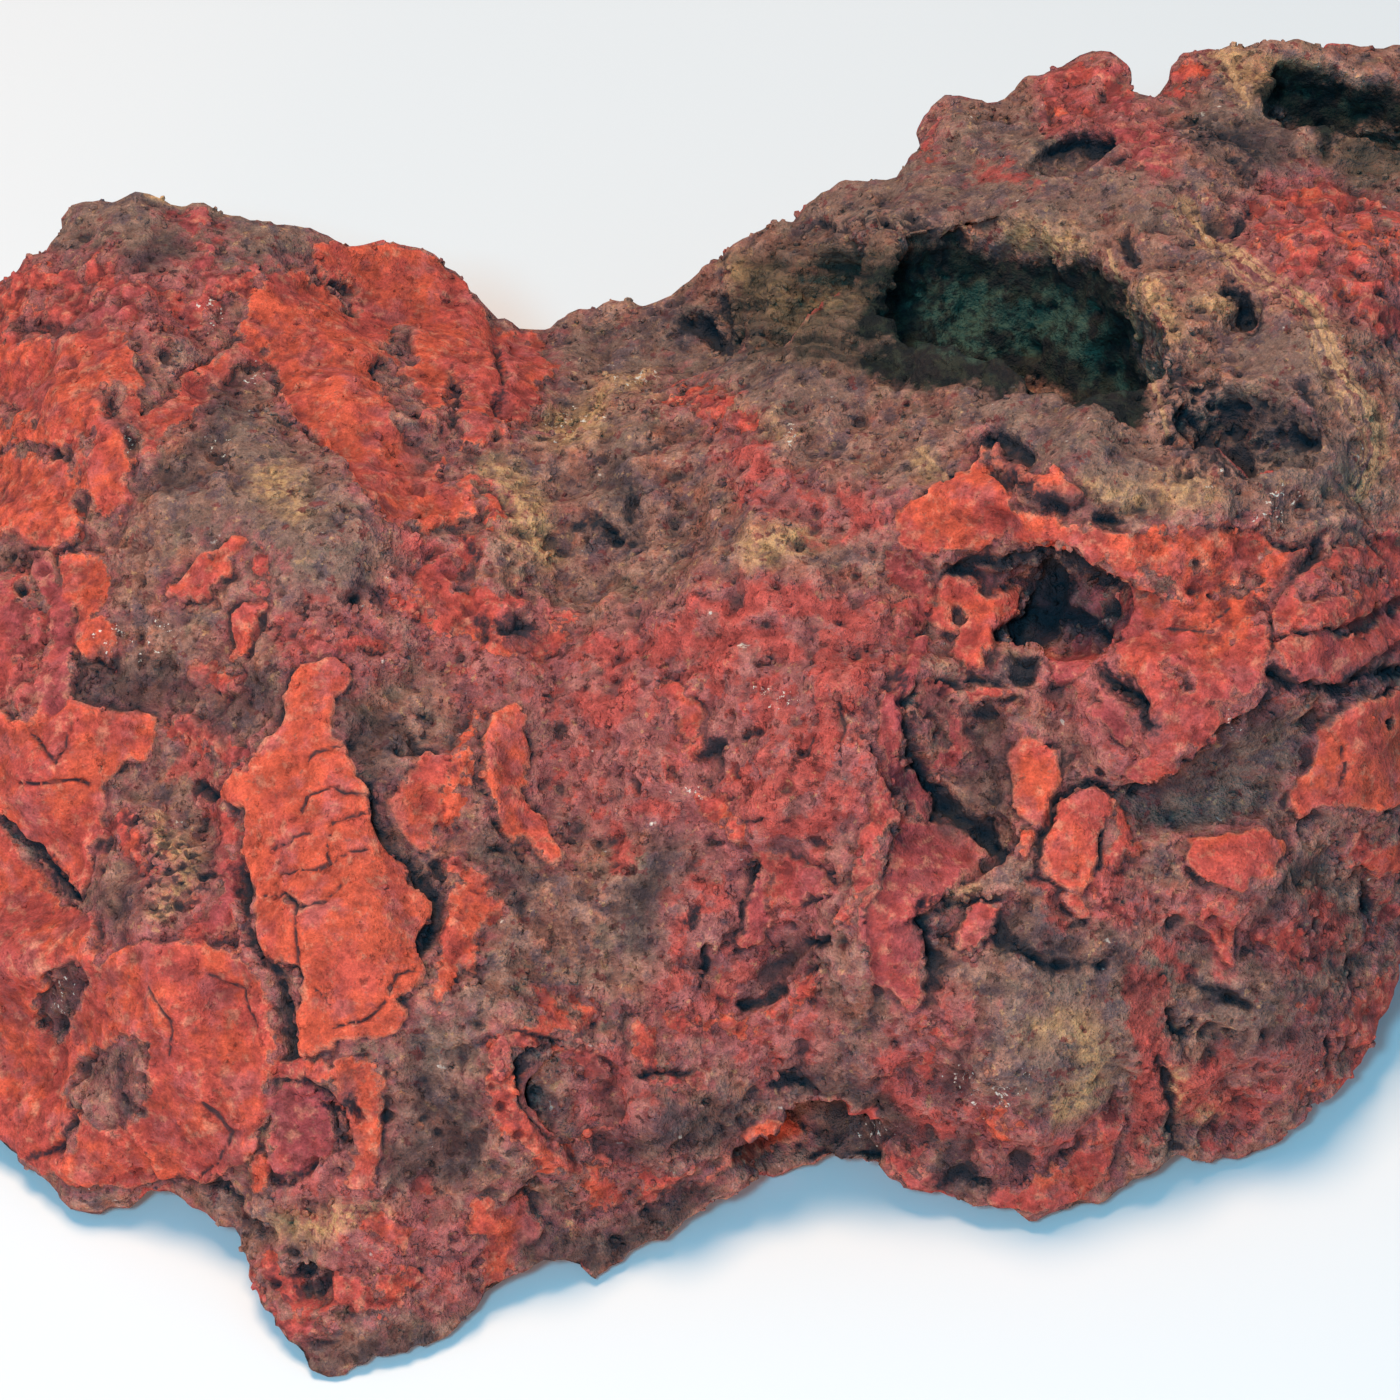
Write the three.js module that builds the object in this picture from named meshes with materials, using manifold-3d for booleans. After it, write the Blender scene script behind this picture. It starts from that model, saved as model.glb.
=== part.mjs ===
// A block of banded ironstone: one natural stone, millimetres, +Z up, standing on the flat spot under it.
//
// The show face is laid out on a drawing board that leans back at 45 degrees. On the board u runs to the
// right and v runs up it. Sight lines spread from an eye in front of the board's centre, and each point of
// the stone is found as a height above the table on the sight line through its (u, v).
import * as THREE from "three";
import { mergeVertices } from "three/addons/utils/BufferGeometryUtils.js";
import Module from "manifold-3d";

// Driving dimensions of the drawing board.
const BOARD_LEAN = THREE.MathUtils.degToRad(45);
const BOARD_CENTRE_HEIGHT = 30;
const EYE_DISTANCE = 550;

// Rings of vertices on the two sheets of the skin. Both sheets share the ring that lies on the outline.
const RIM_POINTS = 160;
const SHOW_RINGS = 27;
const HIDDEN_RINGS = 12;
const SHEET_CENTRE = [0, 5];
// How far each way the outline is averaged where its teeth are smoothed off, in rim points.
const TOOTH_REACH = 7;

// The stone's outline on the board, clockwise from its left end.
const OUTLINE = [
  [-104, 8], [-102.5, 22], [-100, 34], [-96, 44], [-91.5, 50.5], [-87.5, 53.3], [-84.5, 55], [-82, 56.5],
  [-80.5, 59], [-80, 61.5], [-78, 63], [-72, 62.5], [-66, 62.9], [-65, 61.2], [-62.5, 62.3], [-60, 60.3],
  [-51, 59.8], [-45.5, 58.3], [-44.8, 57], [-41, 56.3], [-37.5, 57], [-33, 55.5], [-30.5, 54], [-29, 51.5],
  [-27.5, 49.5], [-26.5, 47], [-24.5, 47.1], [-21, 45.8], [-16.5, 47.8], [-12.5, 48.3], [-10.5, 49.8],
  [-7, 50], [-4.5, 52], [0, 55], [4.5, 58], [11.5, 60.3], [12.5, 62.5], [14.5, 64], [22, 65.7], [24, 65.4],
  [27.5, 69], [27, 72], [30.5, 74.5], [38.5, 76], [40.5, 78], [46.5, 80.3], [50.5, 80.8], [53, 80.3],
  [54.3, 78.5], [55.2, 75.3], [56.8, 75.8], [60, 80], [62.5, 81.5], [67.5, 82.8], [73, 81.9], [75.5, 82.6],
  [78, 81.7], [87, 82.7], [91, 82], [95.5, 79.5], [99.5, 75], [102.5, 68], [104.5, 58], [105, 46],
  [104, 32], [102, 16], [99.5, 2], [96.5, -11], [93, -22], [89.5, -29], [87.3, -33], [86, -38.5],
  [85.5, -42], [81.5, -46.5], [80.5, -49.3], [77.5, -50], [72.8, -54], [71.5, -56], [65, -57.8],
  [60, -56.2], [56, -60], [50, -63], [40.5, -65.8], [36.5, -63.5], [27, -62.2], [22.5, -58.5], [17, -57.5],
  [8, -58.5], [2, -62], [-4, -67.3], [-10.5, -71.5], [-15.3, -74.6], [-16, -70.8], [-17.5, -69.3],
  [-24, -73], [-28, -76.5], [-30.5, -79.5], [-37, -81.8], [-41, -83], [-45, -85], [-47.5, -85.5],
  [-50.5, -82.5], [-54.5, -78], [-57, -72], [-58.7, -66.5], [-62.5, -63.8], [-65, -61.8], [-67, -61.2],
  [-73, -63.5], [-77, -64.3], [-80.5, -61], [-85, -57], [-90, -52.5], [-94.5, -47], [-98.5, -39],
  [-101.5, -28], [-103.5, -12],
];

// Heights of the show face above the table: [u, v, height].
const FACE_HEIGHTS = [
  // left end
  [-104, 8, 26], [-99, 36, 34], [-101, -20, 16], [-92, 50, 44], [-94, -47, 4], [-93, 12, 44],
  [-92, -15, 33], [-88, -35, 22],
  // left dome: steep below, flat above
  [-78, 62, 56], [-80, 45, 57], [-78, 25, 55], [-76, 0, 46], [-74, -22, 37], [-74, -42, 24], [-77, -63, 3],
  [-64, -61, 5], [-60, -45, 24], [-60, -20, 39], [-60, 5, 49], [-60, 30, 57], [-60, 59, 57],
  [-46, 57, 53], [-42, 38, 58], [-40, 12, 53], [-45, -12, 46], [-43, -35, 35], [-30, 50, 45], [-28, 36, 52],
  // lower left lobe
  [-42, -55, 22], [-50, -70, 10], [-38, -70, 11], [-47, -84, 2], [-32, -79, 2], [-25, -62, 13],
  // saddle and middle face
  [-22, 46, 41], [-14, 34, 49], [-18, 15, 50], [-22, -10, 44], [-20, -34, 32], [-12, -50, 22],
  [-15, -73, 1.5], [-5, -66, 4], [-4, 52, 47], [0, 36, 54], [0, 12, 54], [2, -12, 46], [0, -34, 33],
  [0, -52, 18], [10, -50, 17], [12, -58, 8],
  // crest of the right block
  [8, 58, 54], [14, 47, 60], [14, 30, 61], [16, 10, 59], [18, -12, 49], [18, -32, 35], [30, 38, 67],
  [36, 27, 69], [50, 24, 68], [66, 23, 68], [84, 25, 66], [28, 72, 61], [35, 60, 67], [50, 78, 67],
  [55, 62, 71], [60, 44, 70], [62, 80, 69], [76, 81, 70], [75, 60, 73], [80, 40, 71],
  [90, 80, 67], [94, 58, 68], [99, 72, 62], [104, 48, 42], [97, 30, 60], [103, 18, 32],
  // right front face
  [34, 12, 58], [30, -4, 52], [34, -22, 42], [40, -40, 29], [40, -54, 15], [41, -65, 3], [27, -61, 4],
  [52, -61, 3], [50, 8, 57], [50, -12, 48], [58, -30, 35], [57, -46, 20], [66, -57, 3], [79, -48, 6],
  [66, 10, 59], [70, -8, 49], [74, -28, 33], [74, -44, 15], [84, 8, 54], [86, -15, 38], [86, -36, 10],
  [95, 0, 38], [96, -12, 20], [91, -26, 12],
];
const FACE_SOFTNESS = 60;

// Ribs, troughs and weathering lumps fade out over this distance from the outline or the foot.
const RELIEF_MARGIN = 6;

// Raised ribs and sunk troughs of the show face: a rounded line on the board, and its rise in millimetres.
const RIBS_AND_TROUGHS = [
  { name: "crest over the recess", from: [37, 26], to: [62, 21], width: 5, rise: 4.1 },
  { name: "peak of the crest", from: [35, 30], to: [35, 23], width: 5, rise: 4.1 },
  { name: "lip of the middle slab", from: [20, 4], to: [20, -26], width: 5, rise: 3.5 },
  { name: "trough beside the slab", from: [29, -2], to: [28, -32], width: 5, rise: -4.1 },
  { name: "right shelf, upper", from: [70, 8], to: [88, 13], width: 5, rise: 4.3 },
  { name: "right shelf, lower", from: [55, -4], to: [68, 2], width: 5, rise: 4.3 },
  { name: "trough under the shelves", from: [57, -15], to: [76, -5], width: 5, rise: -4.3 },
  { name: "right boss", from: [82, -5], to: [86, -12], width: 7, rise: 4.3 },
  { name: "right foot lobe", from: [74, -45], to: [80, -42], width: 7, rise: 4.1 },
  { name: "right foot notch", from: [62, -50], to: [60, -40], width: 5, rise: -4.1 },
  { name: "crater rim, left", from: [-27, -45], to: [-23, -58], width: 5, rise: 4.3 },
  { name: "crater rim, right", from: [-6, -50], to: [-8, -56], width: 5, rise: 2.7 },
  { name: "left crack", from: [-90, -13], to: [-79, -25], width: 4.5, rise: -4.6 },
  { name: "left plate", from: [-84, -30], to: [-68, -34], width: 9, rise: 3.2 },
  { name: "big plate", from: [-48, -6], to: [-46, -32], width: 7, rise: 3.5 },
  { name: "gap right of the plate", from: [-38, -10], to: [-33, -28], width: 4.5, rise: -3.8 },
  { name: "gap left of the plate", from: [-58, -16], to: [-54, -40], width: 4.5, rise: -3.5 },
  { name: "left boss", from: [-64, -42], to: [-60, -50], width: 9, rise: 4.6 },
  { name: "left shelf", from: [-84, -52], to: [-66, -57], width: 5, rise: 3.5 },
  { name: "nick left of the boss", from: [-78, -38], to: [-82, -44], width: 5, rise: -4.1 },
  { name: "red gully", from: [-40, 50], to: [-36, 26], width: 6, rise: -4.6 },
  { name: "gully side", from: [-27, 44], to: [-25, 34], width: 5, rise: 3.5 },
  { name: "saddle hollow", from: [-10, 45], to: [1, 46], width: 6, rise: -5.4 },
  { name: "saddle rib", from: [-14, 30], to: [-2, 38], width: 6, rise: 2.7 },
  { name: "middle bowl", from: [8, -22], to: [8, -34], width: 5, rise: -4.1 },
  { name: "bulge above the bowl", from: [0, -6], to: [6, 4], width: 9, rise: 2.7 },
  { name: "pit above the middle face", from: [-13, 23], to: [-14, 18], width: 5, rise: -4.1 },
];

// Hollows cut into the stone: the mouth's centre on the board, how deep its centre lies under the face,
// half sizes across (x), front to back (y) and up (z), turns in degrees, and how finely it is faceted.
const HOLLOWS = [
  { name: "main chamber", mouth: [36.5, 48], sink: 7, half: [15, 15, 20], turn: [0, 0, -6], facets: 4 },
  { name: "main chamber, right", mouth: [48, 44], sink: 8, half: [10, 16, 17], turn: [0, 0, 12], facets: 4 },
  { name: "slope into the chamber", mouth: [15, 50], sink: 1, half: [14, 11, 6.5], turn: [0, 16, 0], facets: 3 },
  { name: "upper right chamber", mouth: [81, 73], sink: 6, half: [13, 9, 13], turn: [0, 8, -8], facets: 4 },
  { name: "porous pocket", mouth: [68, 34], sink: 0, half: [10, 7, 5.5], turn: [0, 0, -24], facets: 3 },
  { name: "recess under the crest", mouth: [45, 12], sink: 1, half: [8, 6, 8], turn: [-30, 0, -20], facets: 3 },
  { name: "crevice", mouth: [34, -17], sink: 0, half: [6.5, 4, 4.5], turn: [0, 38, 0], facets: 2 },
  { name: "back pocket", mouth: [47, 68.5], sink: -0.5, half: [6.5, 5, 4], turn: [0, -6, 0], facets: 2 },
  { name: "crater", mouth: [-16, -49], sink: -0.5, half: [6, 5, 7.5], turn: [30, 24, 0], facets: 3 },
  { name: "red socket", mouth: [-50, -54], sink: -0.5, half: [5.5, 5, 6], turn: [20, 0, 0], facets: 3 },
  { name: "arch", mouth: [13, -54], sink: 2, half: [9.5, 9, 7], turn: [0, -8, 0], facets: 3 },
  { name: "lobe pit", mouth: [-50, -73], sink: -1, half: [4, 3, 3], turn: [0, 20, 0], facets: 1 },
  { name: "small eye", mouth: [68, 49], sink: -0.5, half: [2.8, 3, 3.6], turn: [0, 0, 0], facets: 1 },
];
// Lumps of the hollows' walls: their size and rise as shares of the hollow's half size.
const HOLLOW_LUMPS = [
  { size: 0.8, share: 0.2 },
  { size: 0.35, share: 0.12 },
];

// How the stone closes behind and below. The hidden sheet falls back from the outline along each sight line,
// at a steady pace plus a rounded shoulder, until it meets the underside. The underside is flat on an oval
// foot and rises in waves around it.
const HIDDEN_PACE = 2.4;
const HIDDEN_ROUNDING = 26;
const HIDDEN_SMOOTHING = 3;
const FOOT_CENTRE = [0, 2];
const FOOT_HALF = [62, 40];
const UNDERCUT_SLOPE = 0.22;
const UNDERCUT_WAVES = { size: 22, share: 0.5 };

// Weathering of the whole skin, faded towards the outline and the foot: rounded lumps and sharper folds.
const LUMPS = [
  { size: 28, rise: 3.6, folded: false },
  { size: 16, rise: 5.5, folded: true },
  { size: 9, rise: 2.2, folded: false },
];
const FOLD_LEVEL = 0.35;

const UP_BOARD = new THREE.Vector3(0, Math.sin(BOARD_LEAN), Math.cos(BOARD_LEAN));
const OUT_OF_BOARD = new THREE.Vector3(0, -Math.cos(BOARD_LEAN), Math.sin(BOARD_LEAN));
const BOARD_CENTRE = new THREE.Vector3(0, 0, BOARD_CENTRE_HEIGHT);
const EYE = BOARD_CENTRE.clone().addScaledVector(OUT_OF_BOARD, EYE_DISTANCE);

const smoothStep = (low, high, x) => THREE.MathUtils.smoothstep(x, low, high);

/** The way a sight line runs from the eye through (u, v), as a unit vector. */
function sightLine(u, v) {
  return BOARD_CENTRE.clone()
    .add(new THREE.Vector3(u, 0, 0))
    .addScaledVector(UP_BOARD, v)
    .sub(EYE)
    .normalize();
}

/** The point at a height above the table on the sight line through (u, v). */
function pointAtHeight(u, v, height) {
  const way = sightLine(u, v);
  return EYE.clone().addScaledVector(way, (height - EYE.z) / way.z);
}

/** A repeatable random number from 0 to 1 for a lattice point. */
function latticeNoise(x, y, z) {
  const wave = Math.sin(x * 127.1 + y * 311.7 + z * 74.7) * 43758.5453;
  return wave - Math.floor(wave);
}

/** Smooth noise from -1 to 1 at a point, with lumps of the given size. */
function noise(point, size) {
  const [x, y, z] = point.toArray().map((c) => c / size);
  const [i, j, k] = [x, y, z].map(Math.floor);
  const [fx, fy, fz] = [x - i, y - j, z - k].map((f) => f * f * (3 - 2 * f));
  let sum = 0;
  for (let corner = 0; corner < 8; corner++) {
    const [a, b, c] = [corner & 1, (corner >> 1) & 1, corner >> 2];
    const weight = (a ? fx : 1 - fx) * (b ? fy : 1 - fy) * (c ? fz : 1 - fz);
    sum += weight * latticeNoise(i + a, j + b, k + c);
  }
  return 2 * sum - 1;
}

/** Distance on the board from (u, v) to the line between two points. */
function distanceToLine(u, v, [u0, v0], [u1, v1]) {
  const [du, dv] = [u1 - u0, v1 - v0];
  const length2 = du * du + dv * dv || 1;
  const t = THREE.MathUtils.clamp(((u - u0) * du + (v - v0) * dv) / length2, 0, 1);
  return Math.hypot(u - u0 - t * du, v - v0 - t * dv);
}

/** Distance on the board from (u, v) to the outline. */
function distanceToOutline(u, v) {
  return Math.min(...OUTLINE.map((p, i) => distanceToLine(u, v, p, OUTLINE[(i + 1) % OUTLINE.length])));
}

/** How a thin plate bends at a squared distance from a point that holds it. */
const plateBend = (distance2) => (distance2 > 0 ? distance2 * Math.log(distance2) : 0);

/** Solves a square set of linear equations; each row ends with its right-hand side. */
function solveLinear(rows) {
  rows.forEach((_, i) => {
    const best = rows.slice(i).reduce((b, row, k) => (Math.abs(row[i]) > Math.abs(rows[b][i]) ? i + k : b), i);
    [rows[i], rows[best]] = [rows[best], rows[i]];
    for (const row of rows) {
      if (row === rows[i] || row[i] === 0) continue;
      const share = row[i] / rows[i][i];
      for (let k = i; k < row.length; k++) row[k] -= share * rows[i][k];
    }
  });
  return rows.map((row, i) => row[row.length - 1] / row[i]);
}

/** The pulls of a thin plate laid over the height points, then its level and its two slopes. */
function fitPlate(points, softness) {
  const rows = points.map(([u, v, height], i) => [
    ...points.map(([a, b], k) => plateBend((u - a) ** 2 + (v - b) ** 2) + (i === k ? softness : 0)),
    1, u, v, height,
  ]);
  rows.push([...points.map(() => 1), 0, 0, 0, 0]);
  rows.push([...points.map(([u]) => u), 0, 0, 0, 0]);
  rows.push([...points.map(([, v]) => v), 0, 0, 0, 0]);
  return solveLinear(rows);
}

const PLATE = fitPlate(FACE_HEIGHTS, FACE_SOFTNESS);

/** Height of the show face above the table at (u, v), before lumps. */
function faceHeight(u, v) {
  const [level, slopeU, slopeV] = PLATE.slice(-3);
  const plate = FACE_HEIGHTS.reduce(
    (sum, [a, b], i) => sum + PLATE[i] * plateBend((u - a) ** 2 + (v - b) ** 2),
    level + slopeU * u + slopeV * v,
  );
  const inside = smoothStep(0, RELIEF_MARGIN, distanceToOutline(u, v));
  const relief = RIBS_AND_TROUGHS.reduce((total, { from, to, width, rise }) => {
    const away = distanceToLine(u, v, from, to) / width;
    return total + rise * Math.exp(-away * away);
  }, 0);
  return plate + inside * relief;
}

/** Lowest height that the underside may reach over the table at (x, y): 0 on the foot, rising around it. */
function undersideHeight(x, y) {
  const out = Math.hypot((x - FOOT_CENTRE[0]) / FOOT_HALF[0], (y - FOOT_CENTRE[1]) / FOOT_HALF[1]) - 1;
  if (out <= 0) return 0;
  const waves = 1 + UNDERCUT_WAVES.share * noise(new THREE.Vector3(x, y, 0), UNDERCUT_WAVES.size);
  return UNDERCUT_SLOPE * out * Math.min(...FOOT_HALF) * waves;
}

/** The hidden sheet's point behind a point of the show sheet, deeper the further it lies from the outline. */
function hiddenPoint(u, v) {
  const fromRim = distanceToOutline(u, v);
  const front = pointAtHeight(u, v, faceHeight(u, v));
  const way = sightLine(u, v);
  const depth = HIDDEN_PACE * fromRim + Math.sqrt(HIDDEN_ROUNDING * fromRim);
  const point = front.clone().addScaledVector(way, depth);
  const floor = undersideHeight(point.x, point.y);
  if (point.z < floor) {
    const onTable = front.clone().addScaledVector(way, (front.z - floor) / -way.z);
    const raised = undersideHeight(onTable.x, onTable.y);
    point.copy(front).addScaledVector(way, Math.max(front.z - raised, 0) / -way.z);
    if (raised === 0) point.z = 0;
  }
  return point;
}

/** The outline as evenly spaced points, RIM_POINTS of them, and the same line with its teeth smoothed off. */
function rimLines() {
  const path = new THREE.Path(OUTLINE.concat([OUTLINE[0]]).map(([u, v]) => new THREE.Vector2(u, v)));
  const sharp = path.getSpacedPoints(RIM_POINTS).slice(0, RIM_POINTS);
  const smooth = sharp.map((_, i) => {
    const mean = new THREE.Vector2();
    for (let k = -TOOTH_REACH; k <= TOOTH_REACH; k++) mean.add(sharp[(i + k + RIM_POINTS) % RIM_POINTS]);
    return mean.divideScalar(2 * TOOTH_REACH + 1);
  });
  return { sharp, smooth };
}

/** Point of a closed line of points at a share from 0 to 1 round it. */
function alongLine(line, share) {
  const place = share * line.length;
  const i = Math.floor(place) % line.length;
  return line[i].clone().lerp(line[(i + 1) % line.length], place - Math.floor(place));
}

/** The board places of one ring: a shrunken outline that loses its teeth towards the centre. */
function ringPlaces(ring, rings, { sharp, smooth }, toothFade) {
  const share = ring / rings;
  const count = Math.max(1, Math.round(RIM_POINTS * share));
  const centre = new THREE.Vector2(...SHEET_CENTRE);
  return Array.from({ length: count }, (_, i) => {
    const rim = alongLine(smooth, i / count).lerp(alongLine(sharp, i / count), share ** toothFade);
    return centre.clone().lerp(rim, share);
  });
}

/** Triangles that join an outer ring to an inner ring, both given as the index of their first vertex and count. */
function stitchRings(outer, inner) {
  const triangles = [];
  let [i, j] = [0, 0];
  while (i < outer.count || j < inner.count) {
    const [o, n] = [outer.first + (i % outer.count), inner.first + (j % inner.count)];
    const advanceOuter = inner.count === 1 || (i + 0.5) / outer.count <= (j + 0.5) / inner.count;
    if (i < outer.count && (advanceOuter || j >= inner.count)) {
      triangles.push(o, outer.first + ((i + 1) % outer.count), n);
      i++;
    } else if (inner.count > 1) {
      triangles.push(o, inner.first + ((j + 1) % inner.count), n);
      j++;
    } else {
      j++;
    }
  }
  return triangles;
}

/** The stone's skin as one closed geometry: the show sheet, then the hidden sheet from the same rim. */
function skinGeometry() {
  const lines = rimLines();
  const points = [];
  const triangles = [];
  const addRing = (places, placePoint) => {
    const ring = { first: points.length, count: places.length };
    points.push(...places.map((p) => placePoint(p.x, p.y)));
    return ring;
  };
  const showPoint = (u, v) => pointAtHeight(u, v, faceHeight(u, v));
  const rim = addRing(ringPlaces(1, 1, lines, 1), showPoint);
  const sheets = [
    { rings: SHOW_RINGS, placePoint: showPoint, toothFade: 4, turned: false },
    { rings: HIDDEN_RINGS, placePoint: hiddenPoint, toothFade: 8, turned: true },
  ];
  let firstHidden = 0;
  for (const { rings, placePoint, toothFade, turned } of sheets) {
    firstHidden = points.length;
    let outer = rim;
    for (let ring = rings - 1; ring >= 0; ring--) {
      const inner = addRing(ringPlaces(ring, rings, lines, toothFade), placePoint);
      const stitched = stitchRings(outer, inner);
      for (let t = 0; t < stitched.length; t += 3) {
        const [a, b, c] = stitched.slice(t, t + 3);
        triangles.push(...(turned ? [a, b, c] : [a, c, b]));
      }
      outer = inner;
    }
  }
  const geometry = new THREE.BufferGeometry().setFromPoints(points);
  geometry.setIndex(triangles);
  relax(geometry, RIM_POINTS, 1);
  return relax(geometry, firstHidden, HIDDEN_SMOOTHING);
}

/** Evens out the vertices from an index on: each moves to the middle of its neighbours, pass by pass. */
function relax(geometry, firstIndex, passes) {
  const { position } = geometry.attributes;
  const neighbours = Array.from({ length: position.count }, () => new Set());
  for (let t = 0; t < geometry.index.count; t += 3) {
    const corners = [0, 1, 2].map((k) => geometry.index.getX(t + k));
    corners.forEach((corner, k) => neighbours[corner].add(corners[(k + 1) % 3]).add(corners[(k + 2) % 3]));
  }
  const near = new THREE.Vector3();
  for (let pass = 0; pass < passes; pass++) {
    for (let i = firstIndex; i < position.count; i++) {
      const middle = new THREE.Vector3();
      for (const k of neighbours[i]) middle.add(near.fromBufferAttribute(position, k));
      middle.divideScalar(neighbours[i].size);
      const onFoot = position.getZ(i) === 0;
      position.setXYZ(i, middle.x, middle.y, onFoot ? 0 : middle.z);
    }
  }
  return geometry;
}

/** The (u, v) of the sight line that runs through a point. */
function boardPlace(point) {
  const fromEye = point.clone().sub(EYE);
  const scale = -EYE_DISTANCE / fromEye.dot(OUT_OF_BOARD);
  return [fromEye.x * scale, fromEye.dot(UP_BOARD) * scale];
}

/** Moves a skin's vertices out and in by the weathering lumps, and leaves its outline and its foot as they are. */
function weather(geometry) {
  geometry.computeVertexNormals();
  const { position, normal } = geometry.attributes;
  const point = new THREE.Vector3();
  const outwards = new THREE.Vector3();
  for (let i = RIM_POINTS; i < position.count; i++) {
    point.fromBufferAttribute(position, i);
    outwards.fromBufferAttribute(normal, i);
    const offRim = smoothStep(0, 2 * RELIEF_MARGIN, distanceToOutline(...boardPlace(point)));
    const offFoot = smoothStep(0, RELIEF_MARGIN, point.z);
    const rise = LUMPS.reduce((total, lump) => {
      const wave = noise(point, lump.size);
      return total + lump.rise * (lump.folded ? FOLD_LEVEL - Math.abs(wave) : wave);
    }, 0);
    point.addScaledVector(outwards, rise * offFoot * offRim);
    position.setXYZ(i, point.x, point.y, Math.max(point.z, 0));
  }
  return geometry;
}

/** One hollow as a rough ball, squashed, turned and sunk under the show face. */
function hollowGeometry({ mouth: [u, v], sink, half, turn, facets }) {
  const ball = new THREE.IcosahedronGeometry(1, facets);
  const { position } = ball.attributes;
  const point = new THREE.Vector3();
  const centre = pointAtHeight(u, v, faceHeight(u, v)).addScaledVector(sightLine(u, v), sink);
  const angles = new THREE.Euler(...turn.map(THREE.MathUtils.degToRad));
  for (let i = 0; i < position.count; i++) {
    point.fromBufferAttribute(position, i);
    const seed = point.clone().addScalar(u).addScaledVector(UP_BOARD, v);
    const lumps = HOLLOW_LUMPS.reduce((sum, lump) => sum + lump.share * noise(seed, lump.size), 0);
    point.multiplyScalar(1 + lumps);
    point.multiply(new THREE.Vector3(...half)).applyEuler(angles).add(centre);
    position.setXYZ(i, point.x, point.y, point.z);
  }
  return ball;
}

const wasm = await Module();
wasm.setup();

/** A closed geometry as a manifold-3d solid. */
function toSolid(geometry) {
  const bare = new THREE.BufferGeometry().setAttribute("position", geometry.getAttribute("position"));
  bare.setIndex(geometry.index);
  const merged = mergeVertices(bare, 1e-4);
  return new wasm.Manifold(
    new wasm.Mesh({
      numProp: 3,
      vertProperties: merged.attributes.position.array,
      triVerts: new Uint32Array(merged.index.array),
    }),
  );
}

/** A manifold-3d solid as a geometry. */
function toGeometry(solid) {
  const { vertProperties, triVerts } = solid.getMesh();
  const geometry = new THREE.BufferGeometry();
  geometry.setAttribute("position", new THREE.BufferAttribute(new Float32Array(vertProperties), 3));
  geometry.setIndex(new THREE.BufferAttribute(new Uint32Array(triVerts), 1));
  return geometry;
}

/** The largest single piece of a solid, without crumbs that a cut may leave. */
function largestPiece(solid) {
  return solid.decompose().reduce((best, piece) => (piece.volume() > best.volume() ? piece : best));
}

/** Moves a geometry so that the origin lies in the middle of its base. */
function standOnOrigin(geometry) {
  geometry.computeBoundingBox();
  const { min, max } = geometry.boundingBox;
  return geometry.translate(-(min.x + max.x) / 2, -(min.y + max.y) / 2, -min.z);
}

const stone = HOLLOWS.reduce(
  (solid, hollow) => solid.subtract(toSolid(hollowGeometry(hollow))),
  toSolid(weather(skinGeometry())),
);

const ironstone = new THREE.Mesh(
  standOnOrigin(toGeometry(largestPiece(stone))),
  new THREE.MeshStandardMaterial({ color: 0x8a4a3a, roughness: 0.9, metalness: 0 }),
);
ironstone.name = "ironstone";

const group = new THREE.Group();
group.add(ironstone);

export default group;
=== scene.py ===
"""Banded ironstone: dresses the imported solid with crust, pores, cracks, laminae and grains.

The stone's show face is described on a drawing board that leans back at 45 degrees. On the board u runs to
the right and v runs up it, in millimetres; sight lines spread from an eye in front of the board's centre.
"""
from __future__ import annotations

import logging
import math
from dataclasses import dataclass, field
from enum import Enum
from typing import Iterable, Sequence

import bmesh
import bpy
import numpy as np
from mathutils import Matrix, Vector


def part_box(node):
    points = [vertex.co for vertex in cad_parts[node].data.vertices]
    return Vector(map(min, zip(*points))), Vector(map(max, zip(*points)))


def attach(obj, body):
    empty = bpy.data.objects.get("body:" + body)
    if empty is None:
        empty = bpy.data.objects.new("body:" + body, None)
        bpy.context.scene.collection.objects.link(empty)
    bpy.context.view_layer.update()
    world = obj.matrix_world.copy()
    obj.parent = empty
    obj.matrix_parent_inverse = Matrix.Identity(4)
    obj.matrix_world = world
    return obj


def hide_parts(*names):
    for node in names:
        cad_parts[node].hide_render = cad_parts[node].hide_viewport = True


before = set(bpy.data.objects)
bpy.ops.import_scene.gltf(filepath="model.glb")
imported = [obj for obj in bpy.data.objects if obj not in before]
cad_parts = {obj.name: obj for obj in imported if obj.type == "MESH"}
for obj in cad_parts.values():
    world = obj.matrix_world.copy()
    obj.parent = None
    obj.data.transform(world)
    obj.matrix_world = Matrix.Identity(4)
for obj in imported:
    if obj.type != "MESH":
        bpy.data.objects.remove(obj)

log = logging.getLogger("ironstone")

MM = 0.001
NODE = "ironstone"

Point = tuple[float, float]
Dab = tuple[float, float, float]
Colour = tuple[float, float, float]
Box = tuple[tuple[float, float, float], tuple[float, float, float]]
Array = np.ndarray
Node = bpy.types.Node
Socket = bpy.types.NodeSocket
Sockets = bpy.types.bpy_prop_collection

# Farther than anything on the board, a length too small to divide by, and a gap too small to divide by.
FAR = 1e9
TINY = 1e-9
TINY_GAP = 1e-6


# ----------------------------------------------
# Drawing board and noise
# ----------------------------------------------


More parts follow.
